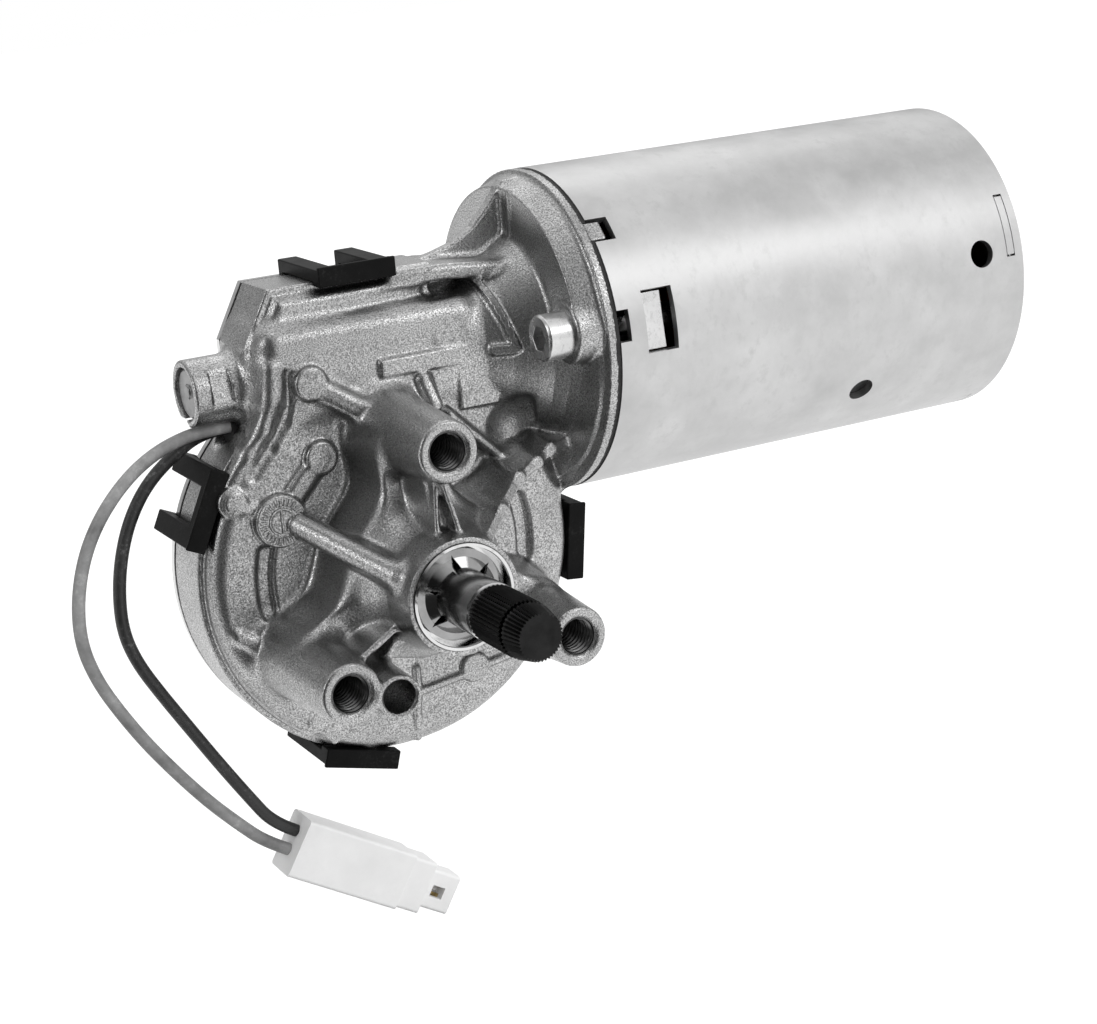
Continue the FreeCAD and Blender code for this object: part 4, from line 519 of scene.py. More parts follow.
# Thin walls: points of the crest (x, y, z), then half width there, draft, fillet and edge rounding.
castingWebs = [
    ([(9.5, 6.0, 7.6), (16.5, 11.4, 12.2), (23.6, 16.8, 16.7), (29.5, 19.3, 18.5), (34.2, 21.4, 20.3)],
     1.1, 0.045, 1.6, 0.35),                                             # curved wall from the hub to the flange
    ([(34.2, 21.4, 20.3), (39.8, 24.5, 20.3)], 1.0, 0.045, 2.2, 0.35),
    ([(10.0, 35.2, 56.2), (26.0, 39.6, 56.6)], 2.6, 0.3, 1.6, 1.0),      # slope from the block to the neck
    ([(-1.4, 4.5, 24.0), (-2.2, 4.0, 12.0)], 0.5, 0.05, 1.4, 0.4),       # two ribs, top pillar to hub, and a web
    ([(-0.6, 3.0, 24.0), (2.0, 2.0, 12.0)], 0.5, 0.05, 1.4, 0.4),
    ([(-1.0, 8.0, 24.0), (-0.2, 6.5, 12.0)], 1.3, 0.05, 1.6, 0.4),
    ([(-20.4, 7.6, -11.4), (-10.8, 7.6, -5.6)], 0.7, 0.05, 1.4, 0.5),    # ribs from the other pillars to the hub
    ([(20.4, 9.0, -11.4), (10.8, 9.0, -5.6)], 0.8, 0.05, 1.6, 0.5),
    ([(-13.5, 12.0, -15.0), (-8.6, 12.0, -8.6)], 0.8, 0.04, 1.4, 0.5),
    ([(-16.4, 28.6, 42.0), (-3.0, 23.5, 32.6)], 2.2, 0.08, 2.0, 1.6),    # ridge from upper pad to top pillar
    ([(-26.1, 28.6, 14.9), (-15.4, 29.0, 26.2)], 2.1, 0.12, 1.2, 1.3),   # bridges between the pads
    ([(-26.1, 29.0, 14.9), (-34.4, 30.2, 19.6)], 1.3, 0.2, 1.0, 0.9),
    ([(-37.2, 29.8, -8.4), (-29.0, 28.0, -14.8)], 1.5, 0.15, 1.0, 1.2),  # short bar on the left
    ([(-34.6, 31.6, 23.4), (-30.4, 31.0, 28.9)], 1.2, 0.25, 1.6, 1.2),   # ridge that curls round the tube's end
    ([(-30.4, 31.0, 28.9), (-26.6, 30.2, 33.8)], 1.3, 0.25, 1.6, 1.2),
    ([(-26.6, 30.2, 33.8), (-24.6, 29.5, 39.6), (-23.8, 29.4, 46.0)], 1.4, 0.25, 1.6, 1.2),
    ([(10.0, 25.0, 33.5), (9.2, 27.6, 38.4)], 1.6, 0.12, 1.4, 1.3),      # swelling on the top pillar's root
    ([(13.5, 25.6, 30.4), (25.4, 26.6, 18.6), (30.0, 27.4, 19.4)], 0.9, 0.10, 1.2, 0.7),
    ([(1.4, 29.2, -29.9), (12.5, 29.4, -28.6)], 0.7, 0.1, 0.9, 0.5),     # low edges right of the small pillar
    ([(17.5, 29.4, -27.6), (27.8, 29.8, -26.2)], 0.7, 0.1, 0.9, 0.5),
    ([(1.0, 29.0, -29.6), (0.8, 30.6, -40.6)], 0.7, 0.06, 0.9, 0.5),
    ([(1.6, 29.6, -29.6), (1.6, 29.6, -24.5)], 0.6, 0.1, 0.9, 0.5),
    ([(-13.0, 27.5, -22.5), (-9.4, 33.5, -42.2)], 1.1, 0.08, 1.4, 0.8),  # wedge rib under the small pillar
    ([(-20.6, 30.2, -33.4), (-18.4, 31.4, -36.6)], 0.8, 0.2, 0.8, 0.6),
    ([(34.4, 31.0, 4.4), (34.4, 31.0, -5.8)], 0.9, 0.2, 1.0, 0.8),       # shoulder edge on the right
]

# Grooves in the face: points of the path (x, y, z) and the cutter's radius.
castingGrooves = [
    ([(-30.2, 29.8, 24.8), (-26.0, 29.9, 29.8), (-22.6, 29.6, 34.6), (-21.2, 29.4, 39.9), (-20.8, 29.2, 44.5)],
     1.3),
]

# Pads on the face: centre (x, z), front y, radius, fillet, edge rounding.
castingPads = [
    ((-26.1, 14.9), 28.0, 5.6, 0.7, 0.5), ((-16.3, 42.2), 28.0, 3.6, 0.8, 0.7),
    ((-15.4, 26.2), 28.7, 3.6, 0.8, 0.7), ((-34.6, 19.8), 30.2, 2.4, 0.8, 0.5),
    ((15.4, -27.4), 29.4, 3.3, 0.7, 0.6), ((-22.6, -31.6), 30.6, 2.0, 0.8, 0.6),
    ((-35.0, 19.9), 30.8, 3.3, 0.8, 0.8),
]


# Union with a fillet: the smaller distance, less a parabola where the two are within blend of each other.
def softMin(first, second, blend):
    near = np.maximum(blend - np.abs(first - second), 0) / blend
    return np.minimum(first, second) - near * near * (blend / 4)


def softMax(first, second, blend):
    return -softMin(-first, -second, blend)


# A flat outline between two planes with its edges rounded: the rounded-box formula on both distances.
def slab(flat, along, front, rear, edge):
    across = flat + edge
    depth = np.abs(along - (front + rear) / 2) - (rear - front) / 2 + edge
    outside = np.hypot(np.maximum(across, 0), np.maximum(depth, 0))
    return np.minimum(np.maximum(across, depth), 0) + outside - edge


# Signed distance to a polygon: the nearest edge's distance, negative where a ray crosses an odd count of edges.
def outline(u, v, corners):
    nearest = np.full(u.shape, 1e9, dtype=u.dtype)
    inside = np.zeros(u.shape, dtype=bool)
    for (startU, startV), (endU, endV) in zip(corners, corners[1:] + corners[:1]):
        stepU, stepV = endU - startU, endV - startV
        part = np.clip(((u - startU) * stepU + (v - startV) * stepV) / (stepU * stepU + stepV * stepV), 0, 1)
        nearest = np.minimum(nearest, np.hypot(u - startU - part * stepU, v - startV - part * stepV))
        if stepV != 0:
            crossing = (v >= min(startV, endV)) & (v < max(startV, endV))
            inside ^= crossing & (u < startU + (v - startV) * (stepU / stepV))
    return np.where(inside, -nearest, nearest)


# A round form of the table, from the distance to its axis and the place along it.
def disc(name, reach, along):
    radius, start, end, edge = castingRounds[name]
    return slab(reach - radius, along, start, end, edge)


# A box of the table with rounded edges: the length of the outward offsets plus the largest inward one.
def box(name, x, y, z):
    *ranges, edge = castingBoxes[name]
    offsets = [np.abs(value - (low + high) / 2) - (high - low) / 2 + edge
               for value, (low, high) in zip((x, y, z), ranges)]
    outside = np.sqrt(sum(np.maximum(offset, 0) ** 2 for offset in offsets))
    return outside + np.minimum(np.maximum(np.maximum(offsets[0], offsets[1]), offsets[2]), 0) - edge


# A wall under a straight crest: plan distance to the crest line less a half width that grows with depth.
def webWall(x, y, z, start, end, half, draft, edge):
    stepX, stepZ = end[0] - start[0], end[2] - start[2]
    part = np.clip(((x - start[0]) * stepX + (z - start[2]) * stepZ) / (stepX * stepX + stepZ * stepZ), 0, 1)
    depth = y - (start[1] + part * (end[1] - start[1]))
    away = np.hypot(x - start[0] - part * stepX, z - start[2] - part * stepZ)
    sideways = away - half - draft * np.maximum(depth, 0) + edge
    above = edge - depth
    outside = np.hypot(np.maximum(sideways, 0), np.maximum(above, 0))
    return np.minimum(np.maximum(sideways, above), 0) + outside - edge


# A round bar between two points: distance to the nearest point of the line, less the radius.
def roundBar(x, y, z, start, end, radius):
    run = np.subtract(end, start)
    away = (x - start[0], y - start[1], z - start[2])
    part = np.clip(sum(offset * step for offset, step in zip(away, run)) / float(run @ run), 0, 1)
    return np.sqrt(sum((offset - part * step) ** 2 for offset, step in zip(away, run))) - radius


# The casting without its bores and its hollow: forms are added and cut in turn, each with its own fillet.
def castingOutside(x, y, z):
    s, flat = castingShape, castingOutlines
    across = np.hypot(x, z)
    yOut, zOut = y - motorAxis[0], z - motorAxis[1]
    around = np.hypot(yOut, zOut)
    blockPlan = outline(x, z, flat["block"])
    body = slab(softMin(across - s["rimRadius"], blockPlan, 1.0), y, s["rimFront"], s["rimRear"], 0.5)

    def add(shape, blend):
        nonlocal body
        body = softMin(body, shape, blend)

    def cut(shape, blend):
        nonlocal body
        body = softMax(body, -shape, blend)

    add(disc("face", across, y), 0.9)
    add(disc("blockFace", blockPlan, y), 0.9)
    # trench and outer ridge on the face, left and right of the hub
    leftOf, rightOf = s["trenchSides"]
    sides = softMin(x - leftOf, -(x - rightOf), 1.0)
    trench = softMax(disc("trench", np.abs(across - s["trenchRadius"]), y), sides, 1.0)
    cut(softMax(trench, z - s["trenchTop"], 1.0), 1.2)
    # worm tube with a squarish upper corner, its collar and the neck
    add(softMin(box("bulge", x, y, z), disc("tube", around, x), 2.0), 2.4)
    cut(box("gap", x, y + 0.11 * np.maximum(14.0 - x, 0), z), 1.0)
    neck = outline(x, around, flat["neck"]) - 0.15
    add(neck, 3.0)
    upward = yOut * s["plateauUp"][0] + zOut * s["plateauUp"][1]
    add(softMax(outline(x, around, flat["plateau"]) - 0.25, -upward, 0.8), 1.0)
    for lugY, lugZ in s["lugs"]:
        lug = disc("lug", np.hypot(y - lugY, z - lugZ), x)
        add(softMax(lug, around - s["lugTop"], 1.0), 1.2)
    # bowl under the neck: a ball cut by two planes
    bowlX, bowlY, bowlZ = s["bowl"]
    bowl = np.sqrt((x - bowlX) ** 2 + (y - bowlY) ** 2 + (z - bowlZ) ** 2) - s["bowlRadius"]
    for (planeX, planeY, planeZ), (outX, outY, outZ), blend in s["bowlPlanes"]:
        bowl = softMax(bowl, (x - planeX) * outX + (y - planeY) * outY + (z - planeZ) * outZ, blend)
    cut(bowl, 0.7)
    for points, radius in castingGrooves:
        for start, end in zip(points, points[1:]):
            cut(roundBar(x, y, z, start, end, radius), 0.9)
    # hub with its star-shaped platform, and the pillars
    platform = across - s["platformRadius"]
    for pillarX, pillarZ in s["pillars"]:
        part = np.clip((x * pillarX + z * pillarZ) / math.hypot(pillarX, pillarZ) ** 2, 0, s["armShare"])
        platform = softMin(platform, np.hypot(x - part * pillarX, z - part * pillarZ) - s["armRadius"], 5.0)
    platform = slab(platform - s["armDraft"] * np.maximum(y - 18.0, 0), y, 17.6, 33.0, 1.0)
    add(softMin(outline(y, across, flat["hub"]) - 0.1, platform, 9.0), 1.6)
    for pillarX, pillarZ in s["pillars"]:
        cone = np.hypot(x - pillarX, z - pillarZ) - s["pillarRadius"] - y * s["pillarDraft"]
        add(slab(cone * 0.997, y, 0.0, s["wallEnd"], 0.7), 4.0)
    smallX, smallZ = s["smallPillar"]
    add(disc("small", np.hypot(x - smallX, z - smallZ) - y * s["smallDraft"], y), 2.0)
    # steep round rib from the ticked pad up the hub
    add(roundBar(x, y, z, *s["steepRib"]), 2.6)
    for points, half, draft, blend, edge in castingWebs:
        for start, end in zip(points, points[1:]):
            wall = webWall(x, y, z, start, end, half, draft, edge)
            add(np.maximum(wall, y - s["wallEnd"]), blend)
    for (padX, padZ), front, radius, blend, edge in castingPads:
        add(slab(np.hypot(x - padX, z - padZ) - radius, y, front, s["wallEnd"], edge), blend)
    # bar and stepped plate on the tube
    add(softMin(box("bar", x, y, z), box("plate", x, y, z), 0.6), 0.8)
    # rib with a foot on the neck, top wall, middle wall, swept gusset and post
    neckRib = softMin(box("neckRib", x - 0.24 * (57.8 - z), y, z), box("foot", x, y, z), 0.8)
    add(np.maximum(neckRib, neck - 1.3), 1.2)
    drop = z + 0.10 * np.maximum(x - 18.0, 0)
    add(box("topWall", x, y - 0.16 * np.maximum(15.0 - x, 0), drop), 1.6)
    add(box("middleWall", x, y, z), 1.2)
    add(slab(outline(x, z, flat["sweep"]), y, 41.2, 44.2, 0.6), 1.2)
    add(roundBar(x, y, z, *s["post"]), 0.8)
    # cap at the closed end, with its flats and flared root
    tilted = yOut * s["capTurn"][0] + zOut * s["capTurn"][1]
    cap = softMax(disc("cap", around, x), -box("capFlat", x, tilted, z), 0.4)
    add(outline(x, around, flat["capRoot"]), 1.6)
    add(cap, 0.8)
    body = np.maximum(body, np.minimum(y - s["rimRear"], np.maximum(14.5 - x, -1.0)))
    # keys in the can's notches
    for turn in map(math.radians, s["keyTurns"]):
        outward = yOut * math.cos(turn) + zOut * math.sin(turn)
        body = np.minimum(body, box("key", x, outward, zOut * math.cos(turn) - yOut * math.sin(turn)))
    return body


# The hollow and the bores; a bore with a mouth widens at 45 degrees from that depth outward.
def castingHoles(x, y, z):
    across, edge = np.hypot(x, z), castingShape["boreEdge"]
    grommetWall, bushBlock = box("grommetWall", x, y, z), box("bushBlock", x, y, z)
    chamber = softMin(softMax(disc("chamber", across, y), -grommetWall, 0.6), disc("lip", across, y), 0.3)
    trough = slab(outline(x, z, castingOutlines["innerBlock"]), y, 36.4, 60.0, 0.6)
    hollow = np.minimum(chamber, softMax(softMax(trough, -bushBlock, 0.6), -grommetWall, 0.6))
    for (middleY, middleZ), bores in boresAlongX.items():
        reach = np.hypot(y - middleY, z - middleZ)
        for radius, start, end in bores:
            hollow = np.minimum(hollow, slab(reach - radius, x, start, end, edge))
    for (middleX, middleZ, mouth), bores in boresAlongY.items():
        reach = np.hypot(x - middleX, z - middleZ)
        flare = np.maximum(mouth - y, 0) if mouth else 0
        for radius, start, end in bores:
            hollow = np.minimum(hollow, slab(reach - radius - flare, y, start, end, edge))
    return hollow


def castingDistance(x, y, z):
    return softMax(castingOutside(x, y, z), -castingHoles(x, y, z), 0.35)


# The casting's distance at many points, worked through in runs that fit the processor's cache.
def distanceAt(points):
    values = np.empty(len(points), dtype=np.float32)
    for start in range(0, len(points), 60000):
        part = points[start:start + 60000]
        values[start:start + 60000] = castingDistance(part[:, 0], part[:, 1], part[:, 2])
    return values


# Central differences of the distance over a small reach along each axis.
def distanceSlope(points, reach):
    slope = np.empty_like(points)
    for axis in range(3):
        shift = np.zeros(3, dtype=points.dtype)
        shift[axis] = reach
        slope[:, axis] = (distanceAt(points + shift) - distanceAt(points - shift)) / (2 * reach)
    return slope


# The distance on a fine grid: coarse everywhere, exact where the coarse one says that the skin is near.
def fieldOnGrid(low, high, step):
    coarseCount = np.ceil((np.subtract(high, low)) / (4 * step)).astype(int) + 1
    axes = [low[axis] + np.arange(coarseCount[axis]) * 4 * step for axis in range(3)]
    coarse = np.stack(np.meshgrid(*axes, indexing="ij"), axis=-1).reshape(-1, 3).astype(np.float32)
    values = distanceAt(coarse).reshape(coarseCount)
    for axis in range(3):
        first = np.take(values, np.arange(values.shape[axis] - 1), axis=axis)
        second = np.take(values, np.arange(1, values.shape[axis]), axis=axis)
        layers = [first + (second - first) * (part / 4) for part in range(4)]
        filled = np.stack(layers, axis=axis + 1)
        shape = list(first.shape)
        shape[axis] *= 4
        values = filled.reshape(shape)
    near = np.nonzero(np.abs(values) < 4.6 * step)
    points = np.stack([low[axis] + near[axis] * step for axis in range(3)], axis=-1).astype(np.float32)
    values[near] = distanceAt(points)
    return values


# Surface nets: one vertex per crossed cell at the mean of its edge crossings, one quad per crossed edge.
def skinOfField(values, low, step):
    inside = values < 0
    cells = tuple(size - 1 for size in values.shape)
    total = np.zeros((*cells, 3), dtype=np.float32)
    count = np.zeros(cells, dtype=np.float32)
    quads = []
    for axis in range(3):
        shift = [slice(None)] * 3
        back = [slice(None)] * 3
        shift[axis] = slice(1, None)
        back[axis] = slice(None, -1)
        crossed = inside[tuple(shift)] != inside[tuple(back)]
        place = np.nonzero(crossed)
        first = values[tuple(back)][place]
        second = values[tuple(shift)][place]
        crossing = np.stack(place, axis=-1).astype(np.float32)
        crossing[:, axis] += first / (first - second)
        other = [number for number in range(3) if number != axis]
        corners = []
        good = np.ones(len(first), dtype=bool)
        for sideways in ((0, 0), (1, 0), (1, 1), (0, 1)):
            cell = [part.copy() for part in place]
            cell[other[0]] -= sideways[0]
            cell[other[1]] -= sideways[1]
            for number in range(3):
                good &= (cell[number] >= 0) & (cell[number] < cells[number])
            corners.append(cell)
        flat = [np.ravel_multi_index([part[good] for part in cell], cells) for cell in corners]
        for index in flat:
            for part in range(3):
                total[..., part] += np.bincount(index, crossing[good, part], count.size).reshape(cells)
            count += np.bincount(index, minlength=count.size).reshape(cells)
        facing = (first[good] < 0) == (axis != 1)
        quad = np.stack(flat, axis=-1)
        quads.append(np.where(facing[:, None], quad, quad[:, ::-1]))
    used = count > 0
    number = np.full(count.size, -1, dtype=np.int64)
    number[used.ravel()] = np.arange(int(used.sum()))
    vertices = total[used] / count[used][:, None] * step + np.asarray(low, dtype=np.float32)
    return vertices.astype(np.float32), number[np.concatenate(quads)]


# Vertices in mm and equal-sided faces as whole arrays.
def meshFromArrays(name, vertices, faces):
    mesh = bpy.data.meshes.new(name)
    mesh.vertices.add(len(vertices))
    mesh.vertices.foreach_set("co", (np.asarray(vertices, dtype=np.float32) * mm).ravel())
    sides = faces.shape[1]
    mesh.loops.add(faces.size)
    mesh.loops.foreach_set("vertex_index", faces.astype(np.int32).ravel())
    mesh.polygons.add(len(faces))
    mesh.polygons.foreach_set("loop_start", np.arange(0, faces.size, sides, dtype=np.int32))
    mesh.update(calc_edges=True)
    mesh.shade_smooth()
    return mesh


def addPiece(name, mesh, material, node=None):
    piece = newObject(name, mesh)
    mesh.materials.append(materials[material])
    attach(piece, "housing")
    if node:
        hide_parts(node)
    return piece


# The mesh that a piece's modifiers give, put back on the piece without them.
def applyModifiers(piece):
    old = piece.data
    made = bpy.data.meshes.new_from_object(piece.evaluated_get(bpy.context.evaluated_depsgraph_get()))
    piece.modifiers.clear()
    piece.data = made
    bpy.data.meshes.remove(old)


def makeCasting(look):
    step = look["step"]
    vertices, faces = skinOfField(fieldOnGrid(look["low"], look["high"], step), look["low"], step)
    for _ in range(look["passes"]):
        slope = distanceSlope(vertices, look["reach"])
        away = distanceAt(vertices)[:, None] * slope / np.maximum((slope ** 2).sum(axis=1, keepdims=True), 0.2)
        vertices -= np.clip(away, -look["farthest"] * step, look["farthest"] * step)
    mesh = meshFromArrays("gearHousingCasting", vertices, faces)
    casting = addPiece("gearHousingCasting", mesh, "casting", "gear_housing")
    if len(faces) * 2 > look["faces"]:
        casting.modifiers.new("fewer", "DECIMATE").ratio = look["faces"] / (len(faces) * 2)
        applyModifiers(casting)
    mesh = casting.data
    places = np.empty(len(mesh.vertices) * 3, dtype=np.float32)
    mesh.vertices.foreach_get("co", places)
    slope = distanceSlope(places.reshape(-1, 3) / mm, look["normalReach"])
    slope /= np.maximum(np.linalg.norm(slope, axis=1, keepdims=True), 1e-6)
    mesh.normals_split_custom_set_from_vertices(slope)
    print("casting:", len(faces), "quads made,", len(mesh.polygons), "faces kept")


makeCasting(castingShape)


# smaller pieces worked out as grids of points

# A mesh from rows of points in mm, whose columns close round; rows close too, or their ends get flat caps.
def meshFromRings(name, points, closeRows=False):
    rows, columns = points.shape[:2]
    number = np.arange(rows * columns).reshape(rows, columns)
    ahead = np.roll(number, -1, axis=0) if closeRows else number[1:]
    here = number if closeRows else number[:-1]
    quads = np.stack([here, ahead, np.roll(ahead, -1, axis=1), np.roll(here, -1, axis=1)], axis=-1).reshape(-1, 4)
    caps = [] if closeRows else [number[0].tolist(), number[-1][::-1].tolist()]
    mesh = bpy.data.meshes.new(name)
    mesh.from_pydata((points.reshape(-1, 3) * mm).tolist(), [], quads.tolist() + caps)
    work = bmesh.new()
    work.from_mesh(mesh)
    bmesh.ops.recalc_face_normals(work, faces=work.faces)
    work.to_mesh(mesh)
    work.free()
    mesh.shade_smooth()
    mesh.set_sharp_from_angle(angle=math.radians(50))
    return mesh


# The part of a rise of the given width that a value has reached, from 0 to 1.
def ramp(value, width):
    return np.clip(value / width, 0, 1)


threads = {"major": 3.97, "minor": 3.35, "pitch": 1.25, "start": 0.75, "end": 19.2, "outside": 4.3, "runOut": 1.2,
           "rowsPerTurn": 8, "columns": 44}


# Threaded sleeve of a bore: the radius falls from the major to the minor one where height less turn is half a
# pitch, with flanks of a third of a pitch.
def makeThread(name, x, z, look):
    rowCount = int((look["end"] - look["start"]) / look["pitch"] * look["rowsPerTurn"])
    height = np.linspace(look["start"], look["end"], rowCount)[:, None]
    turn = np.linspace(0, 1, look["columns"], endpoint=False)[None, :]
    phase = (height / look["pitch"] - turn) % 1.0
    crest = np.clip(1.5 * (1 - np.abs(2 * phase - 1)) - 0.2, 0, 1)
    crest = crest * (ramp(height - look["start"], look["runOut"]) * ramp(look["end"] - height, look["runOut"]))
    inner = look["major"] - (look["major"] - look["minor"]) * crest
    back = np.array([look["end"], look["start"]])[:, None]
    cosine, sine = np.cos(2 * np.pi * turn), np.sin(2 * np.pi * turn)
    rings = [np.stack([x + radius * cosine, along + 0 * turn, z + radius * sine], axis=-1)
             for radius, along in ((inner, height), (look["outside"] + 0 * back, back))]
    # The sleeve takes the darkened thread metal, painted shade of its bore.
    addPiece(name, meshFromRings(name, np.concatenate(rings), closeRows=True), "turned")


for name, (x, z) in zip(("topThread", "leftThread", "rightThread"), castingShape["pillars"]):
    makeThread(name, x, z, threads)

tickPad = {"middle": (-26.1, 14.9), "front": 27.96, "depth": 0.5, "radius": 5.25, "relief": 0.34, "ticks": 26,
           "inner": 3.3, "outer": 4.95, "ring": 2.7, "ringHalf": 0.32, "barHalf": 0.34, "flank": 0.16,
           "edge": 0.15}


# Ticked disc on the big pad: a raised bar where the angle is near a tick and the radius between two circles,
# a raised ring, and one bar across the inside of the ring.
def makeTickPad(look):
    radius = np.linspace(0.04, look["radius"], 36)[:, None]
    turn = np.linspace(0, 2 * np.pi, look["ticks"] * 14, endpoint=False)[None, :]
    near = np.abs((turn * look["ticks"] / (2 * np.pi)) % 1.0 - 0.5) / look["ticks"] * 2 * np.pi * radius
    bar = ramp(look["barHalf"] - near, look["flank"]) * ramp(radius - look["inner"], look["edge"])
    bar = bar * ramp(look["outer"] - radius, look["edge"])
    ring = ramp(look["ringHalf"] - np.abs(radius - look["ring"]), look["edge"])
    stem = ramp(look["barHalf"] - np.abs(radius * np.cos(turn)), look["flank"]) * ramp(look["ring"] - radius, 0.1)
    rise = look["relief"] * np.maximum(np.maximum(bar, ring), stem)
    x, z = look["middle"]
    top = np.stack([x + radius * np.cos(turn), look["front"] - rise, z + radius * np.sin(turn)], axis=-1)
    edge, middle = top[-1:].copy(), top[:1].copy()
    edge[..., 1] = middle[..., 1] = look["front"] + look["depth"]
    addPiece("tickPad", meshFromRings("tickPad", np.concatenate([top, edge, middle])), "casting")


makeTickPad(tickPad)

springs = {"x": 55.5, "start": 21.36, "end": 28.33, "coil": 2.0, "wire": 0.3, "coils": 4.5, "sides": 8,
           "steps": 200, "keep": 0.57, "direction": (0.0, 0.149535, 0.988756)}


# Coil spring: a circle carried round a helix whose pitch closes up at both ends, about the brush's radial line.
def makeBrushSpring(name, sign, node, look):
    along = np.array(look["direction"]) * sign
    across = np.array([1.0, 0.0, 0.0])
    base = np.array([look["x"], *motorAxis])
    part = np.linspace(0, 1, look["steps"])
    angle = 2 * np.pi * look["coils"] * part
    ease = np.interp(part, (0, 0.14, 0.86, 1), (0, 0.03, 0.97, 1))
    reach = look["start"] + look["wire"] + ease * (look["end"] - look["start"] - 2 * look["wire"])
    radial = np.cos(angle)[:, None] * across + np.sin(angle)[:, None] * np.cross(along, across)
    middle = base + reach[:, None] * along + look["coil"] * radial
    wireTurn = np.linspace(0, 2 * np.pi, look["sides"], endpoint=False)[None, :, None]
    points = middle[:, None, :] + look["wire"] * (np.cos(wireTurn) * radial[:, None, :] + np.sin(wireTurn) * along)
    piece = addPiece(name, meshFromRings(name, points), "steel", node)
    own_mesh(piece)


makeBrushSpring("upperBrushSpring", 1, "upper_brush_spring", springs)
makeBrushSpring("lowerBrushSpring", -1, "lower_brush_spring", springs)
print("threads, ticked pad and brush springs made")


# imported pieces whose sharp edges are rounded

# Per node: name, bevel width in mm, segments, finish and slot.
roundings = {
    "cover_clips": ("coverClips", 0.55, 3, "clip", "clip_plastic"),
    "can_screws": ("canScrews", 0.18, 2, "screw", "screw_steel"),
    "can_nuts": ("canNuts", 0.22, 2, "screw", "screw_steel"),
    "thrust_plug": ("thrustPlug", 0.3, 2, "plug", "screw_steel"),
    "can_end_plate": ("canEndPlate", 0.25, 2, "can", "rolled_steel"),
    "connector_housing": ("connectorHousing", 0.6, 3, "nylon", "white_nylon"),
}
edgeRules = {"merge": 0.002, "flat": 1.0, "sharp": 35, "bevel": 38}     # mm, then degrees between faces


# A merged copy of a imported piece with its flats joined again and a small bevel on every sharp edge.
def makeRounded(node, name, width, segments, finish, slotName):
    mesh = nodes[node].data.copy()
    if "custom_normal" in mesh.attributes:
        mesh.attributes.remove(mesh.attributes["custom_normal"])
    mesh.materials.clear()
    work = bmesh.new()
    work.from_mesh(mesh)
    bmesh.ops.remove_doubles(work, verts=work.verts, dist=edgeRules["merge"] * mm)
    bmesh.ops.dissolve_limit(work, angle_limit=math.radians(edgeRules["flat"]), verts=work.verts, edges=work.edges)
    work.to_mesh(mesh)
    work.free()
    piece = addPiece(name, mesh, finish, node)
    mesh.shade_smooth()
    mesh.set_sharp_from_angle(angle=math.radians(edgeRules["sharp"]))
    rounding = piece.modifiers.new("rounding", "BEVEL")
    rounding.width = width * mm
    rounding.segments = segments
    rounding.limit_method = "ANGLE"
    rounding.angle_limit = math.radians(edgeRules["bevel"])
    rounding.harden_normals = True
    applyModifiers(piece)


for node, look in roundings.items():
    makeRounded(node, *look)


# studio

studio = {"floorDrop": 0.002, "floorSize": 6.0, "floorWhite": 0.30, "floorLift": 0.88, "roomGrey": 0.03,
          "backdropWhite": 1.0}


# A flat piece of the stage, this far above the lowest point of the object.
def stagePlane(name, corners, height, material):
    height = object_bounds()[0].z + height
    mesh = bpy.data.meshes.new(name)
    mesh.from_pydata([(x, y, height) for x, y in corners], [], [(0, 1, 2, 3)])
    mesh.materials.append(material)
    plane = newObject(name, mesh)
    plane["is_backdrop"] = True
    return plane


# The floor shines by itself to the camera and in reflections, and is a plain grey for all other light.
def makeFloor(look):
    material = bpy.data.materials.new("paleFloor")
    tree, surface = emptyTree(material, "ShaderNodeOutputMaterial")
    plain = setInputs(addNode(tree, "ShaderNodeBsdfDiffuse"), Color=grey(look["floorWhite"])).outputs[0]
    lift = setInputs(addNode(tree, "ShaderNodeEmission"), Strength=look["floorLift"]).outputs[0]
    rays = addNode(tree, "ShaderNodeLightPath").outputs
    reflected = mathNode(tree, "MAXIMUM", rays["Is Glossy Ray"], rays["Is Transmission Ray"])
    seen = mathNode(tree, "MAXIMUM", rays["Is Camera Ray"], reflected)
    shining = chain(tree, "ShaderNodeAddShader", plain, lift)
    fill(surface, chain(tree, "ShaderNodeMixShader", seen, plain, shining))
    half = look["floorSize"] / 2
    stagePlane("floor", [(-half, -half), (half, -half), (half, half), (-half, half)], -look["floorDrop"], material)


# A black card on the floor at the front left, which only reflections see.
darkCard = {"corners": ((-1.3, -1.5), (-0.05, -1.5), (-0.05, -0.03), (-1.3, -0.03)), "lift": 0.0006,
            "colour": grey(0.015), "rough": 0.9}


def makeDarkCard(look):
    material, tree, shader = startMaterial("blackCard")
    setInputs(shader, Base_Color=look["colour"], Roughness=look["rough"])
    card = stagePlane("darkCard", look["corners"], look["lift"] - studio["floorDrop"], material)
    for rays in ("camera", "diffuse", "shadow", "transmission"):
        setattr(card, "visible_" + rays, False)


# Bright areas of the room: direction, cosine where the area starts and where it is full, strength.
roomLights = [
    ((0.15, 0.50, 0.85), 0.47, 0.88, 1.08),
    ((-0.05, -0.12, 0.99), 0.89, 0.97, 1.40),
    ((0.56, -0.67, 0.485), 0.52, 0.86, 1.12),
    ((-0.905, -0.05, 0.42), 0.93, 0.985, 1.6),
    ((0.0, 0.99, 0.1), 0.10, 0.80, 0.45),
    ((1.0, 0.0, 0.1), 0.55, 0.95, 0.45),
]


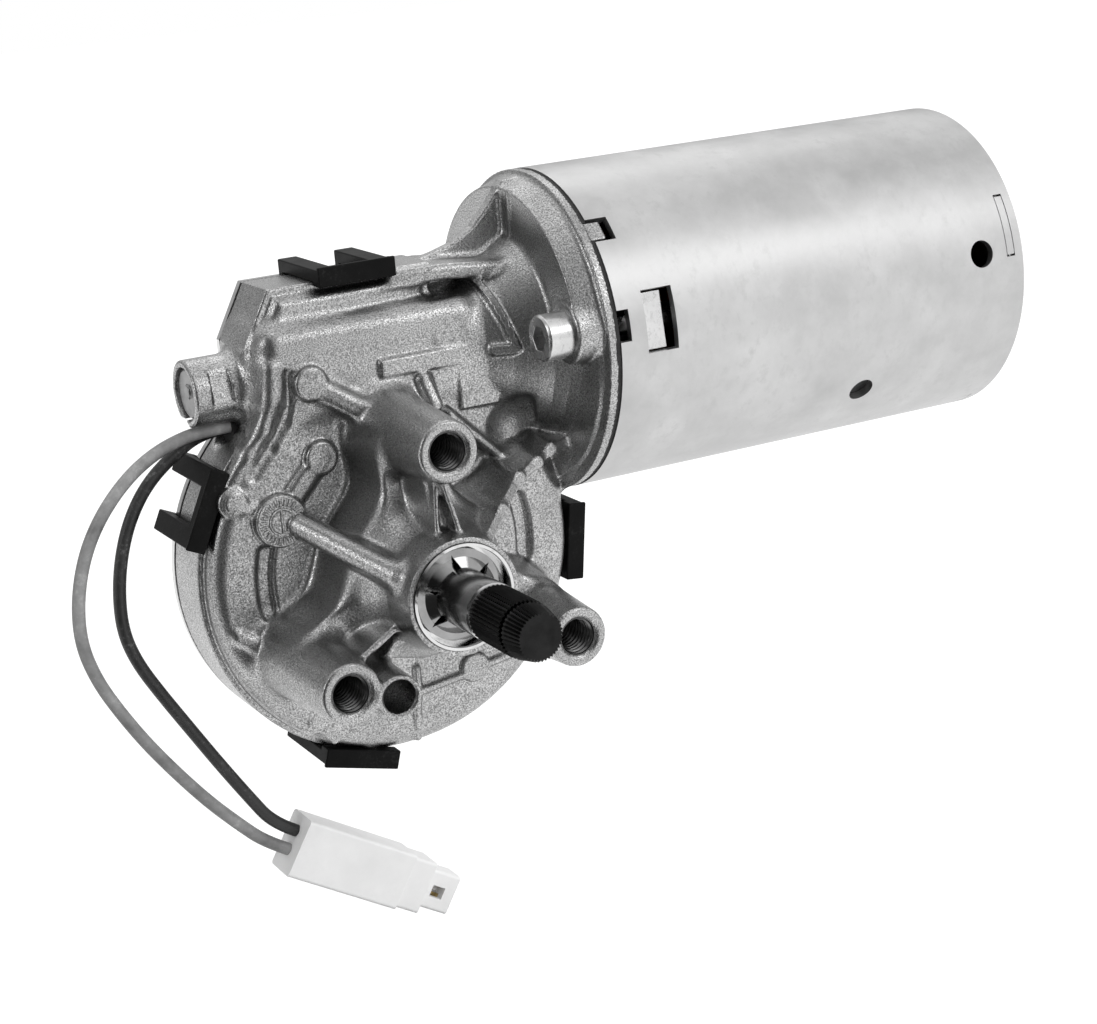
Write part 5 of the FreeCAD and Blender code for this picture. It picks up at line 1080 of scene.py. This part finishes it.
# White for the camera; for the object a grey room with these bright areas, whose largest value counts.
def makeWorld(look):
    world = bpy.data.worlds.new("studioWorld")
    bpy.context.scene.world = world
    tree, surface = emptyTree(world, "ShaderNodeOutputWorld")
    place = addNode(tree, "ShaderNodeTexCoord").outputs["Generated"]
    brightest = 0.0
    for direction, start, full, strength in roomLights:
        dot = addNode(tree, "ShaderNodeVectorMath", operation="DOT_PRODUCT")
        fill(dot.inputs[0], place)
        fill(dot.inputs[1], direction)
        area = rangeNode(tree, dot.outputs["Value"], start, full, 0.0, strength)
        brightest = mathNode(tree, "MAXIMUM", brightest, area)
    total = mathNode(tree, "ADD", brightest, look["roomGrey"])
    light, white = (setInputs(addNode(tree, "ShaderNodeBackground"), Strength=strength, Color=grey(1.0)).outputs[0]
                    for strength in (total, look["backdropWhite"]))
    rays = addNode(tree, "ShaderNodeLightPath").outputs
    fill(surface, chain(tree, "ShaderNodeMixShader", rays["Is Camera Ray"], light, white))


lamps = {
    "keyLamp": {"place": (0.60, -0.80, 0.70), "target": (0.0, 0.03, 0.0), "size": (0.40, 0.40), "power": 1.4},
    "fillLamp": {"place": (0.05, -1.10, 0.55), "target": (0.0, 0.03, -0.02), "size": (0.8, 0.6), "power": 8.0,
                 "inReflections": False},
    "rimLamp": {"place": (0.40, 0.65, 0.8), "target": (0.05, 0.04, 0.04), "size": (0.5, 0.25), "power": 0.6},
    "sideLamp": {"place": (-0.95, 0.0, 0.40), "target": (0.0, 0.03, 0.0), "size": (0.12, 0.6), "power": 1.0},
}


def makeLamp(name, look):
    data = bpy.data.lights.new(name, "AREA")
    data.shape = "RECTANGLE"
    data.size, data.size_y = look["size"]
    data.energy = look["power"]
    lamp = newObject(name, data)
    lamp.location = look["place"]
    direction = Vector(look["target"]) - Vector(look["place"])
    lamp.rotation_euler = direction.to_track_quat("-Z", "Y").to_euler()
    lamp.visible_glossy = look.get("inReflections", True)


makeFloor(studio)
makeDarkCard(darkCard)
makeWorld(studio)
for name, look in lamps.items():
    makeLamp(name, look)
bpy.context.scene.view_settings.view_transform = "Standard"
print("studio lit")
